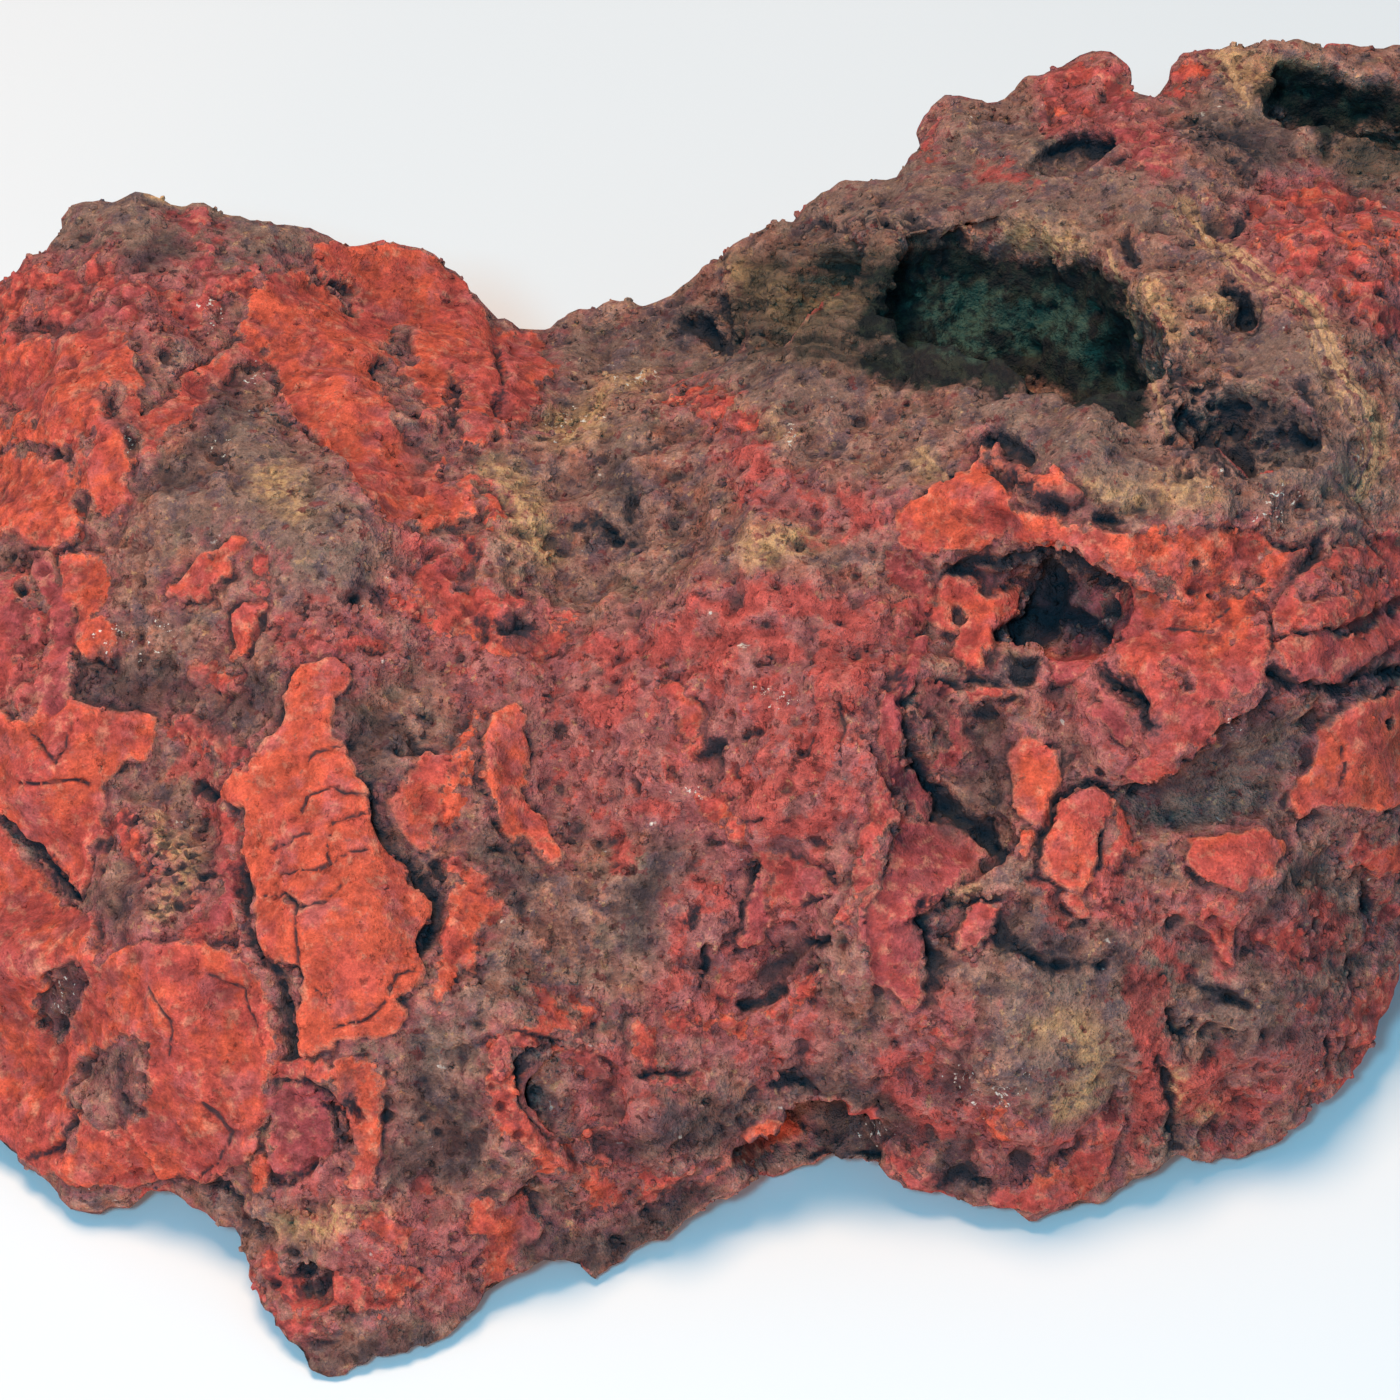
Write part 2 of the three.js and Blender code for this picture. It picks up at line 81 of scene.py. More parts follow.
@dataclass(frozen=True)
class DrawingBoard:
    """The leaning plane on which the show face is laid out, and the eye that looks at it square on."""

    centre_mm: tuple[float, float, float] = (-2.516, -3.949, 30.0)
    lean_deg: float = 45.0
    eye_distance_mm: float = 550.0

    @property
    def up(self) -> Array:
        """Unit vector that runs up the board."""
        lean = math.radians(self.lean_deg)
        return np.array([0.0, math.sin(lean), math.cos(lean)])

    @property
    def out(self) -> Array:
        """Unit vector from the board's centre to the eye."""
        lean = math.radians(self.lean_deg)
        return np.array([0.0, -math.cos(lean), math.sin(lean)])

    @property
    def eye_mm(self) -> Array:
        """Where the eye is, in the object's frame."""
        return np.array(self.centre_mm) + self.eye_distance_mm * self.out

    def places(self, points: Array) -> Array:
        """Find where points appear on the board.

        Args:
            points: Positions in millimetres, one per row.

        Returns:
            One (u, v) per row.
        """
        ray = points - self.eye_mm
        scale = -self.eye_distance_mm / (ray @ self.out)
        return np.stack([ray[:, 0] * scale, (ray @ self.up) * scale], axis=1)

    def facing(self, points: Array, normals: Array) -> Array:
        """Tell how squarely each point faces the eye, from -1 to 1.

        Args:
            points: Positions in millimetres, one per row.
            normals: Outward unit vectors, one per row.

        Returns:
            The cosine of the angle between each normal and the way to the eye.
        """
        to_eye = self.eye_mm - points
        to_eye /= np.linalg.norm(to_eye, axis=1, keepdims=True)
        return np.einsum("ij,ij->i", normals, to_eye)


def smooth_step(low: float, high: float, values: Array) -> Array:
    """Ease from 0 at low to 1 at high.

    Args:
        low: Value where the step starts.
        high: Value where it ends.
        values: What to ease.

    Returns:
        Eased values from 0 to 1.
    """
    t = np.clip((values - low) / (high - low), 0.0, 1.0)
    return t * t * (3.0 - 2.0 * t)


def hashed(cells: Array, seed: int) -> Array:
    """Give each lattice cell a repeatable random number from 0 to 1.

    Args:
        cells: Integer cell coordinates, one cell per row.
        seed: Which of many independent patterns to use.

    Returns:
        One number per row.
    """
    c = cells.astype(np.uint32)
    h = c[:, 0] * np.uint32(374761393) + c[:, 1] * np.uint32(668265263) + c[:, 2] * np.uint32(2246822519)
    h = h + np.uint32(seed * 977 + 12345)
    h = (h ^ (h >> np.uint32(13))) * np.uint32(1274126177)
    h = (h ^ (h >> np.uint32(15))) * np.uint32(2654435761)
    return ((h >> np.uint32(8)) & np.uint32(0xFFFF)).astype(np.float64) / 65535.0


def lumps(points: Array, size: float, seed: int, octaves: int = 1) -> Array:
    """Smooth random lumps from about -1 to 1.

    Args:
        points: Positions in millimetres, one per row.
        size: Size of the largest lumps, in millimetres.
        seed: Which pattern to use.
        octaves: How many sizes to add, each half as large and half as strong.

    Returns:
        One value per row.
    """
    total = np.zeros(len(points))
    strength = 1.0
    for octave in range(octaves):
        scaled = points / size + 31.7 * (octave + 1)
        cell = np.floor(scaled).astype(np.int64)
        f = scaled - cell
        f = f * f * (3.0 - 2.0 * f)
        value = np.zeros(len(points))
        for corner in range(8):
            step = np.array([corner & 1, (corner >> 1) & 1, corner >> 2])
            weight = np.prod(np.where(step == 1, f, 1.0 - f), axis=1)
            value += weight * hashed(cell + step, seed + 13 * octave)
        total += strength * (2.0 * value - 1.0)
        size *= 0.5
        strength *= 0.5
    return total


def cells(points: Array, size: float, seed: int) -> tuple[Array, Array]:
    """Scatter one seed point in every cell of a lattice and find each point's nearest.

    Args:
        points: Positions in millimetres, one per row.
        size: Lattice pitch in millimetres.
        seed: Which pattern to use.

    Returns:
        The distance to the nearest seed point in pitches, and that seed point's random number.
    """
    scaled = points / size
    home = np.floor(scaled).astype(np.int64)
    nearest = np.full(len(points), FAR)
    chance = np.zeros(len(points))
    for offset in np.ndindex(3, 3, 3):
        cell = home + np.array(offset) - 1
        place = np.stack([hashed(cell, seed + k) for k in (1, 2, 3)], axis=1)
        away = np.linalg.norm(cell + place - scaled, axis=1)
        closer = away < nearest
        nearest = np.where(closer, away, nearest)
        chance = np.where(closer, hashed(cell, seed + 4), chance)
    return nearest, chance


# ----------------------------------------------
# Shapes drawn on the board
# ----------------------------------------------


def line_distances(places: Array, line: Sequence[Sequence[float]]) -> tuple[Array, Array, Array]:
    """Measure from each place to a line of straight stretches.

    Args:
        places: One (u, v) per row.
        line: The line's points; a third number, where given, is carried along it.

    Returns:
        The distance to the line, the same with a minus on its right side, and the carried number.
    """
    best = np.full(len(places), FAR)
    signed = np.zeros(len(places))
    carried = np.zeros(len(places))
    points = [tuple(point) + (0.0,) * (3 - len(point)) for point in line]
    if len(points) == 1:
        points = points * 2
    for (u0, v0, c0), (u1, v1, c1) in zip(points, points[1:]):
        along = np.array([u1 - u0, v1 - v0])
        length2 = float(along @ along) or 1.0
        offset = places - np.array([u0, v0])
        t = np.clip((offset @ along) / length2, 0.0, 1.0)
        gap = offset - t[:, None] * along
        away = np.hypot(gap[:, 0], gap[:, 1])
        side = along[0] * offset[:, 1] - along[1] * offset[:, 0]
        closer = away < best
        best = np.where(closer, away, best)
        signed = np.where(closer, np.where(side >= 0.0, away, -away), signed)
        carried = np.where(closer, c0 + t * (c1 - c0), carried)
    return best, signed, carried


def outline_measures(places: Array) -> tuple[Array, Array, Array]:
    """Measure from each place to the stone's outline.

    Args:
        places: One (u, v) per row.

    Returns:
        The distance inside the outline (less than 0 outside), how far round the outline its nearest point
        lies, and the unit vector that points inwards there.
    """
    best = np.full(len(places), FAR)
    along = np.zeros(len(places))
    gap = np.zeros((len(places), 2))
    inside = np.zeros(len(places), dtype=bool)
    run = 0.0
    for (u0, v0), (u1, v1) in zip(OUTLINE, OUTLINE[1:] + OUTLINE[:1]):
        edge = np.array([u1 - u0, v1 - v0])
        length = float(np.hypot(*edge))
        offset = places - np.array([u0, v0])
        t = np.clip((offset @ edge) / length**2, 0.0, 1.0)
        away = offset - t[:, None] * edge
        distance = np.hypot(away[:, 0], away[:, 1])
        closer = distance < best
        best = np.where(closer, distance, best)
        along = np.where(closer, run + t * length, along)
        gap = np.where(closer[:, None], away, gap)
        crosses = (v0 > places[:, 1]) != (v1 > places[:, 1])
        inside ^= crosses & (places[:, 0] < u0 + edge[0] * (places[:, 1] - v0) / (edge[1] or TINY))
        run += length
    sign = np.where(inside, 1.0, -1.0)
    return best * sign, along, gap * (sign / np.maximum(best, TINY_GAP))[:, None]


# The tone of what is not tinted, and the depth in millimetres given to places outside every shape.
PLAIN_TONE = 0.4
FIELD_FLOOR = -6.0


@dataclass(frozen=True)
class Dabs:
    """A brush stroke on the board: a line of round dabs (u, v, radius), and how it is to be tinted."""

    line: tuple[Dab, ...]
    tone: float = PLAIN_TONE
    lumpy: float = 1.0

    def reach(self) -> tuple[float, float, float, float]:
        """Lowest and highest u and v that the stroke covers."""
        u, v, r = np.array(self.line).T
        return float((u - r).min()), float((u + r).max()), float((v - r).min()), float((v + r).max())

    def depth_inside(self, places: Array) -> Array:
        """How far inside the stroke's edge each place lies, in millimetres; less than 0 outside."""
        away, _, radius = line_distances(places, self.line)
        return radius - away


@dataclass(frozen=True)
class Plate:
    """A closed outline on the board, and how it is to be tinted."""

    outline: tuple[Point, ...]
    tone: float = 0.2
    lumpy: float = 0.3

    def reach(self) -> tuple[float, float, float, float]:
        """Lowest and highest u and v that the plate covers."""
        u, v = np.array(self.outline).T
        return float(u.min()), float(u.max()), float(v.min()), float(v.max())

    def depth_inside(self, places: Array) -> Array:
        """Measure how far inside the plate's edge each place lies.

        Args:
            places: One (u, v) per row.

        Returns:
            Millimetres, less than 0 outside.
        """
        closed = self.outline + self.outline[:1]
        away, _, _ = line_distances(places, closed)
        inside = np.zeros(len(places), dtype=bool)
        for (u0, v0), (u1, v1) in zip(closed, closed[1:]):
            crosses = (v0 > places[:, 1]) != (v1 > places[:, 1])
            slope = (u1 - u0) / ((v1 - v0) or TINY)
            inside ^= crosses & (places[:, 0] < u0 + slope * (places[:, 1] - v0))
        return np.where(inside, away, -away)


@dataclass(frozen=True)
class Crack:
    """A hairline crack: a line on the board and its depth in millimetres."""

    line: tuple[Point, ...]
    depth: float


@dataclass(frozen=True)
class Ledge:
    """A cliff along a line: the ground to the line's left stands proud by a height that dies away."""

    line: tuple[Point, ...]
    height: float
    run: float = 5.0


@dataclass(frozen=True)
class Pit:
    """A round pit at (u, v), its radius and its depth in millimetres; a depth below 0 is a mound."""

    place: Point
    radius: float
    depth: float


@dataclass(frozen=True)
class Fill:
    """A round hollow at (u, v) whose floor is raised by a share of its depth."""

    place: Point
    radius: float
    share: float


@dataclass(frozen=True)
class Lamina:
    """A band of parallel ochre seams along a line on the board, and half the band's width."""

    line: tuple[Point, ...]
    half_width: float


Shape = Dabs | Plate


def paint(places: Array, shapes: Iterable[Shape]) -> tuple[Array, Array, Array]:
    """Lay shapes over each other.

    Args:
        places: One (u, v) per row.
        shapes: What to lay.

    Returns:
        The depth inside the deepest shape in millimetres, and that shape's tone and lumpiness.
    """
    depth = np.full(len(places), FIELD_FLOOR)
    tone = np.full(len(places), PLAIN_TONE)
    lumpy = np.ones(len(places))
    for shape in shapes:
        u0, u1, v0, v1 = shape.reach()
        near = (places[:, 0] > u0 + FIELD_FLOOR) & (places[:, 0] < u1 - FIELD_FLOOR)
        near &= (places[:, 1] > v0 + FIELD_FLOOR) & (places[:, 1] < v1 - FIELD_FLOOR)
        index = np.flatnonzero(near)
        if not len(index):
            continue
        inside = shape.depth_inside(places[index])
        deeper = inside > depth[index]
        chosen = index[deeper]
        depth[chosen] = inside[deeper]
        tone[chosen] = shape.tone
        lumpy[chosen] = shape.lumpy
    return depth, tone, lumpy


def read_rows(text: str) -> list[tuple[tuple[tuple[float, ...], ...], tuple[float, ...]]]:
    """Read drawn shapes from a text table.

    Args:
        text: Points parted by commas, then a bar and further numbers where there are any, then a
            semicolon. A hash starts a remark.

    Returns:
        For each shape its points and its further numbers.
    """
    plain = " ".join(line.split("#")[0] for line in text.splitlines())
    rows = []
    for row in filter(str.strip, plain.split(";")):
        points, _, rest = row.partition("|")
        rows.append((tuple(tuple(map(float, point.split())) for point in points.split(",")),
                     tuple(map(float, rest.split()))))
    return rows


def drawn(text: str) -> tuple[Shape, ...]:
    """Read strokes, drawn with (u, v, radius), and plates, drawn with (u, v), and their tints."""
    return tuple((Plate if len(points[0]) == 2 else Dabs)(points, *rest) for points, rest in read_rows(text))


# ----------------------------------------------
# What the show face carries
# ----------------------------------------------

# The stone's outline on the board, clockwise from its left end.
OUTLINE = read_rows("""
    -104 8, -102.5 22, -100 34, -96 44, -91.5 50.5, -87.5 53.3, -84.5 55, -82 56.5, -80.5 59, -80 61.5,
    -78 63, -72 62.5, -66 62.9, -65 61.2, -62.5 62.3, -60 60.3, -51 59.8, -45.5 58.3, -44.8 57, -41 56.3,
    -37.5 57, -33 55.5, -30.5 54, -29 51.5, -27.5 49.5, -26.5 47, -24.5 47.1, -21 45.8, -16.5 47.8,
    -12.5 48.3, -10.5 49.8, -7 50, -4.5 52, 0 55, 4.5 58, 11.5 60.3, 12.5 62.5, 14.5 64, 22 65.7, 24 65.4,
    27.5 69, 27 72, 30.5 74.5, 38.5 76, 40.5 78, 46.5 80.3, 50.5 80.8, 53 80.3, 54.3 78.5, 55.2 75.3,
    56.8 75.8, 60 80, 62.5 81.5, 67.5 82.8, 73 81.9, 75.5 82.6, 78 81.7, 87 82.7, 91 82, 95.5 79.5,
    99.5 75, 102.5 68, 104.5 58, 105 46, 104 32, 102 16, 99.5 2, 96.5 -11, 93 -22, 89.5 -29, 87.3 -33,
    86 -38.5, 85.5 -42, 81.5 -46.5, 80.5 -49.3, 77.5 -50, 72.8 -54, 71.5 -56, 65 -57.8, 60 -56.2, 56 -60,
    50 -63, 40.5 -65.8, 36.5 -63.5, 27 -62.2, 22.5 -58.5, 17 -57.5, 8 -58.5, 2 -62, -4 -67.3, -10.5 -71.5,
    -15.3 -74.6, -16 -70.8, -17.5 -69.3, -24 -73, -28 -76.5, -30.5 -79.5, -37 -81.8, -41 -83, -45 -85,
    -47.5 -85.5, -50.5 -82.5, -54.5 -78, -57 -72, -58.7 -66.5, -62.5 -63.8, -65 -61.8, -67 -61.2,
    -73 -63.5, -77 -64.3, -80.5 -61, -85 -57, -90 -52.5, -94.5 -47, -98.5 -39, -101.5 -28, -103.5 -12
""")[0][0]

CRUST = drawn("""
    # left end, upper part
    -93 52, -87.5 53.5, -81.5 54, -75 56, -73 55, -72.5 52.5, -69.5 50.5, -69.5 48, -76 46.5, -82 44.5,
    -87.5 43, -93 42.5 | .6 1; -93 44, -84 44.5, -76.5 46.5, -71 46, -70.5 42, -69.5 38, -70 33, -71.5 31,
    -72 29, -72.5 25, -73.3 22.3, -75 23, -77.3 28, -77.6 31, -81.5 33, -87.5 31, -93 31 | .15 .6; -93 31,
    -87.5 30.5, -78.5 30, -78 26, -77.3 20.5, -81.5 19, -87.5 20.5, -93 21 | .1 .5; -71 34.5, -68.5 36,
    -64 39.5, -60.5 43, -58.5 45.5, -55.5 50, -53 51.5, -52 46, -55 42.5, -58.5 41.5, -61 37.5, -64.5 34,
    -68 32, -70.5 30.5, -72.5 30.5 | .3 .6; -61.6 50.4, -57 49.8, -54.5 52, -53.5 54, -58 53, -62 52.2 |
    .5 1; -65.5 63, -61 62.5, -60 59.5, -63 58, -65.5 59.5 | .6 1; -62.5 56 1, -62 53.5 1.2 | .6;
    -68 50.5 1, -65 48 1.4, -62 48.5 1.4 | .5;
    # hump
    -56 52.3, -52.5 53.5, -49 55.5, -46 57.4, -41.5 56.5, -37.5 57.4, -33.2 55.6, -30 53.5, -28 50.5,
    -27 47.5, -28 44, -30 41.5, -31.5 38, -33 34, -31 30, -28 27, -28 23.4, -33.2 22, -37.4 22.6,
    -40.5 23.4, -43 26.4, -45.3 30, -49 33.7, -52 38, -53 41.5, -54 46, -55.5 49 | .15 .45; -30.5 48,
    -27 47.6, -21 46.8, -19.8 45, -17.7 42, -19.8 38.5, -23.4 34.3, -25.2 35, -27 33.5, -30 33, -31 40 |
    .35 .6; -31 25 .8, -27 25 1, -25 23 .7 | .2;
    # scraps under the hump
    -59.2 20.8, -57 20.5, -58 17.5, -60 14.5, -63 13, -66.5 13.2, -63.5 16, -61.5 18.5 | .3 .3;
    -55.5 18 .8, -54.8 15.5 .9 | .4; -57.3 12, -54.5 12.8, -55.5 9.5, -58 5.5, -60 6, -58.8 9.5 | .2 .4;
    -80 18.3, -75.5 18.8, -74 15, -74.5 13.5, -76 11, -73 9.5, -72.4 7, -74 4.2, -77.5 5, -79.3 7.5,
    -78.5 11.5, -79.5 14 | .1 .5; -93 16, -87.5 16.2, -83.5 15, -82.5 11, -82.3 5, -83 1, -80 -1, -93 -5 |
    .6 1; -82.5 17.5 1.2, -80.6 13 1.4, -80 8 1.4, -80.8 2 1.8, -80 -3 2 | .95 .6; -62 3 1.5, -59 2.5 1 |
    .4; -64 -3 1.4, -60 -6 1.6, -57 -8 1 | .7; -28 20 1, -31 17 2, -33 14 2, -31 11 2, -27 12 2.5,
    -22 12 1.4 | .45; -28 9 1, -24 7 1.6, -20 7.5 1.8, -18 10 .8 | .3; -38 13 .8, -34 12 1.3 | .5;
    -50 8 .7, -45 6.5 .9, -40 7 .6 | .5;
    # the big smooth sheet
    -50 5, -46 6, -43 3.5, -44.8 0, -45.3 -3, -44.4 -5.4, -43.5 -9.7, -41 -12, -41 -16.9, -39.3 -19.3,
    -37.4 -22.3, -35 -24, -33.8 -26.5, -35 -30, -35 -34.4, -37 -36.3, -36.4 -39.5, -38.5 -42, -46.5 -43.7,
    -50.3 -44.8, -50.6 -40, -49.5 -34, -51.5 -32, -53.7 -33, -55.8 -28.5, -56.5 -20, -56.8 -13.3,
    -60 -12.3, -58.8 -10, -55 -5.5, -52.5 -1.5 | 0 .1; -39.3 -12, -36.5 -9, -34 -6.5, -31.8 -7, -31.8 -10,
    -33 -13, -33.5 -18.2, -36 -17.5, -38.5 -15 | .3 .2;
    # tan and orange ribbons
    -28.5 -2 .8, -31 -8 1.1, -31 -14 1.4, -33 -17 .8 | .05; -24 -2 2, -24 -9 2.8, -24 -13.5 2.2,
    -21 -16 1.8, -18 -19.3 1.3 | 0 .3; -30.5 -20 .9, -28 -23 1.1, -26 -26 1 | .05; -31.5 -23, -28.5 -22,
    -26.5 -25, -27.5 -30, -30 -34.5, -32.5 -38.5, -34 -37, -32.5 -31, -31 -27 | .15 .5;
    # left end, lower part
    -93 2, -84 0, -80 -1, -77.5 -.3, -70 -.2, -68 -2, -68.3 -6, -70.5 -8.5, -73 -10, -74 -12.5, -75.5 -18,
    -76.5 -22, -77.5 -23.8, -80.5 -21, -84 -16.5, -87.5 -14, -93 -12.5 | .2 .25; -73 -15.5 1.6,
    -71 -17.5 1.6, -70 -20 1 | .5; -93 -15, -87.5 -17, -84 -20.5, -81.5 -23.5, -79 -26, -76.8 -26.5,
    -76 -30.5, -74.5 -32.8, -72 -31, -66 -30.5, -60 -30.2, -57.5 -32, -55 -35, -53.6 -39, -52.6 -44,
    -53.3 -48, -54.5 -53, -57 -57, -60 -59.5, -66 -60.5, -72 -62, -80 -60, -93 -55 | .3 .45; -86 -46.5 2,
    -80 -43.5 2.4, -76 -40 1.8 | 0 .2; -78 -57 3.6, -71 -56 3.4 | .05 .3; -88 -54 3, -83 -54.5 2.4 |
    .9 .6; -60 -13 1, -58.5 -17 1.4, -60 -27 1.6, -63 -29.5 1.4 | .7;
    # round socket and what lies right of it
    -50 -52 4.2, -50 -55.5 4 | 1 .6; -45.3 -44.5, -41 -45, -39.3 -47.5, -39.3 -52, -40.2 -60, -43.5 -60,
    -43.6 -55, -46 -50 | .15 .5; -52 -46 1.2, -47 -46.2 1.2 | .3 .5; -55.5 -57 1.2, -54.5 -60 1 | 0 .5;
    # lower lobe
    -34 -62 1.2 | .3; -27 -64 2.4, -22 -66 2.2, -26 -70 2.3, -27 -73 1 | .2 .6; -53.5 -72 1.4,
    -50 -76 1.6, -44 -74 2.2, -40 -76 1.4, -37 -72.5 1.6, -34 -75 1 | .5; -55.5 -75 1.2, -53.5 -79.5 1.2,
    -49 -80 .8 | .8; -41 -66 1.4, -37.5 -68 1.4 | .3;
    # crater rim
    -15 -41 .9, -20 -41 1.1, -25 -42.8 1.2 | .3 .6; -25.5 -45 1.2, -25 -48.5 2, -22.3 -53 1.8,
    -18.5 -57.2 1.7, -15 -58.6 .9 | .15 .9; -14 -45 1.6, -12 -48 1.2 | .5; -12.5 -54.5 .5, -12 -58 .5 |
    .2; -14 -61.5 1.4, -11 -63 1.2 | .2; -6 -61.5 1.2, -3.5 -60 1, -1.5 -58.5 .8 | .2;
    # middle face
    -3 38.5 1, 0 38 1.7, 3 36 1.5, 4.5 35 1 | .25; -7 -41 1.7, -5 -46 1.3, -1 -47.5 .8 | .4;
    -19 -38.8 1.2, -14 -39.8 .8 | .4; -3 .5 1.5, -1.5 -2.5 1.4, -.8 -5.5 1 | .4 .5; 0 -13 1.4,
    3 -14.5 1.8, 5 -16.5 1 | .35 .7; 6.5 -20, 10 -19.5, 14.5 -20.5, 15.5 -23, 12 -25, 9 -25.5 | .45 .5;
    6.6 -22, 8.5 -24, 9.5 -28, 8 -30.5, 5.5 -31 | 1 .3; 23 -10 .9, 22.6 -15 1.3, 21.2 -20 1.4, 19 -25 1.1,
    16.5 -28.5 .7 | .5 .7; -4.5 -39.5 .6, 3 -40.3 1.1, 9 -39.5 .7, 13.5 -36 1, 15.5 -34 .6 | .4 1;
    # crimson sheets right of the middle slab
    23.5 -14, 27 -16, 30 -14.5, 32 -16, 35.5 -20, 33 -21.5, 30 -24.5, 28 -27, 29 -30, 27.5 -33, 28.5 -36,
    27.5 -38.5, 24 -35, 20.5 -34, 20.5 -28, 22.5 -22, 24.5 -18 | .75 .2; 24 -4 1.2, 25 -8.5 1.6,
    28 -12 1.8, 28 -14 1.1 | .7 .4; 27 6 1.2, 25 3 1.7, 24.5 -1 1.6, 25.5 -4.5 .9 | .85 .4; 28.5 0 1,
    31 -2.5 1.6, 33.5 -6 1.2, 30 -7.5 1 | .6 .6;
    # ridge, crest and the plates under it
    35.2 33, 36 30, 37.5 28, 39 24.5, 39 21, 35 19, 31 18, 26 18, 23.5 20, 24.5 24, 27.5 25.5, 31 27.5,
    33.5 29.5 | .2 .4; 36.5 31 .6, 40 28.8 1.1, 43.5 27.3 1.5, 46.8 25 .9 | .15 .4; 38 23.5 1.6,
    42 22 1.9, 47.5 20 1.6, 52 18.5 1.7, 54 15.5 1.2 | .2 .4; 54 20.5, 60 22.3, 65 22, 70 21.5, 74 19.5,
    76 18.5, 72.5 15, 70 12, 68 8, 64 6, 58 8, 54 12, 53 16 | .2 .8; 52.5 14, 58 9, 66 7, 71 9, 70.5 3,
    66 -1, 62 -5.5, 58 -8, 54 -8.5, 56 -3, 54 2, 51 7 | .55 .5; 72 12.5, 77 18, 84 20.5, 93 21, 98 14,
    93 11.5, 85 10, 78 8.3, 72 8 | .5 .9; 72 7.8, 80 8.4, 88 11.5, 96 11, 93 7, 86 4.5, 81 1.5, 77 2,
    73 3.5 | .7 .3; 29.5 15, 33 15.3, 37 13.7, 40.3 13.5, 39 11, 36.8 9, 35.5 4, 33 2.5, 31.5 5, 31.5 8,
    29.5 8, 28.5 11 | .5 .3; 24 17 1.2, 27 14.5 2.2, 25.5 9 1.8 | .6; 44.3 6, 46 8.5, 49 8, 50 5,
    47.5 2.8, 44.5 2.8 | .95 .6; 47 13 1.2, 49.5 11.5 1.4 | .95; 43.5 13.5 .6, 44 11 .8 | .8; 28 1.5 .8,
    32 .3 .8, 37 .8 1, 39 1 .6 | .5 .6; 50 -1.5 1.4, 53 -3.5 1.3, 51 1 .8 | .95 .5;
    # tongues on the right front face
    38.6 -5.5, 41 -4.3, 44 -6.2, 45 -9.5, 43.3 -12, 42.5 -15, 39 -14.2, 38.3 -10 | .12 .15; 41 -17 1.3,
    39.8 -19 1 | .3 .4; 44 -12.5, 47 -11, 51 -11.6, 51.8 -14, 50 -18, 49.6 -22, 47.8 -24, 43.2 -22.4,
    43 -18 | .3 .15; 46.5 -24.5 1.2, 48.5 -27.5 .7 | .35 .4; 52.6 -15 1.2, 54.3 -18 1.2, 52 -20 .9 |
    .4 .7; 50 -25 1, 53 -26 .8 | .5; 33 -25.5, 37 -25.7, 37.3 -29, 35.5 -31.3, 33 -30 | .6 .4; 59.7 -17.3,
    64 -17.3, 67 -17.3, 69 -16.2, 72 -17.5, 72.5 -19.5, 70.5 -22.5, 67 -24.3, 64 -22.5, 62 -20 | .25 .2;
    62 -25, 66.5 -25.5, 67.5 -29, 66.5 -33.5, 63.5 -30, 61.8 -28.5 | .45 .6; 72 -29 1.4, 74.5 -31.5 1.6 |
    .5; 80 -1, 84 .5, 92 0, 94 -8, 90 -13, 84 -14, 79 -13, 74.5 -15.5, 73.8 -12.5, 76 -8, 77 -4 | .15 .2;
    81.5 -18 1.4, 84.5 -20 1.6, 90 -18 2 | .35 .5; 76 -38 1.2 | .5; 88 -33 1.8, 84.5 -37 1.8, 82.5 -41 2.2
    | .55 .6; 84 -29 1.2, 86 -26 1.2 | .6; 28 -41 .8, 33 -43 .8 | .4; 28.5 -46 1.3 | .4;
    # foot of the right block
    24.5 -56.5 1.2, 27 -60 1.8, 29.5 -61 .8 | .35; 38 -62.5 1.8, 43 -62 2.4, 48 -60 2.4, 51.5 -56.5 1.4 |
    .3 .6; 51.5 -53 1.2, 51.5 -57 1 | .4; 37 -51.5 1.1, 38.3 -55 1.2 | .3; 65 -55.5 1.6 | .5;
    77 -48.5 1.2, 79.5 -48 .9 | .5; 5.5 -58, 8.5 -56, 12.8 -54.5, 12.4 -51.8, 9.5 -52.5, 6 -54.5, 1 -58.5,
    0 -61 | .2 .4;
    # top of the right block
    44 79 1.2, 49 79 1.6, 52 77 1.6 | .6; 44 74.5 1.2, 47 72.5 1.3 | .4; 52 73.5 1.2, 54.5 69.5 1.7,
    57 67.5 1.2 | .7; 61 79 1.3, 58.5 76.5 .9 | .4; 28.5 71.5 1, 28.5 69 1 | .5; 68.7 58, 70 62, 75 64.5,
    80 64.5, 85 62.5, 95 63, 95 54, 88 53, 84 50.5, 79 53, 73 54 | .5 1; 84 49.5 1.4, 87.5 47 1.8 | .5;
""")

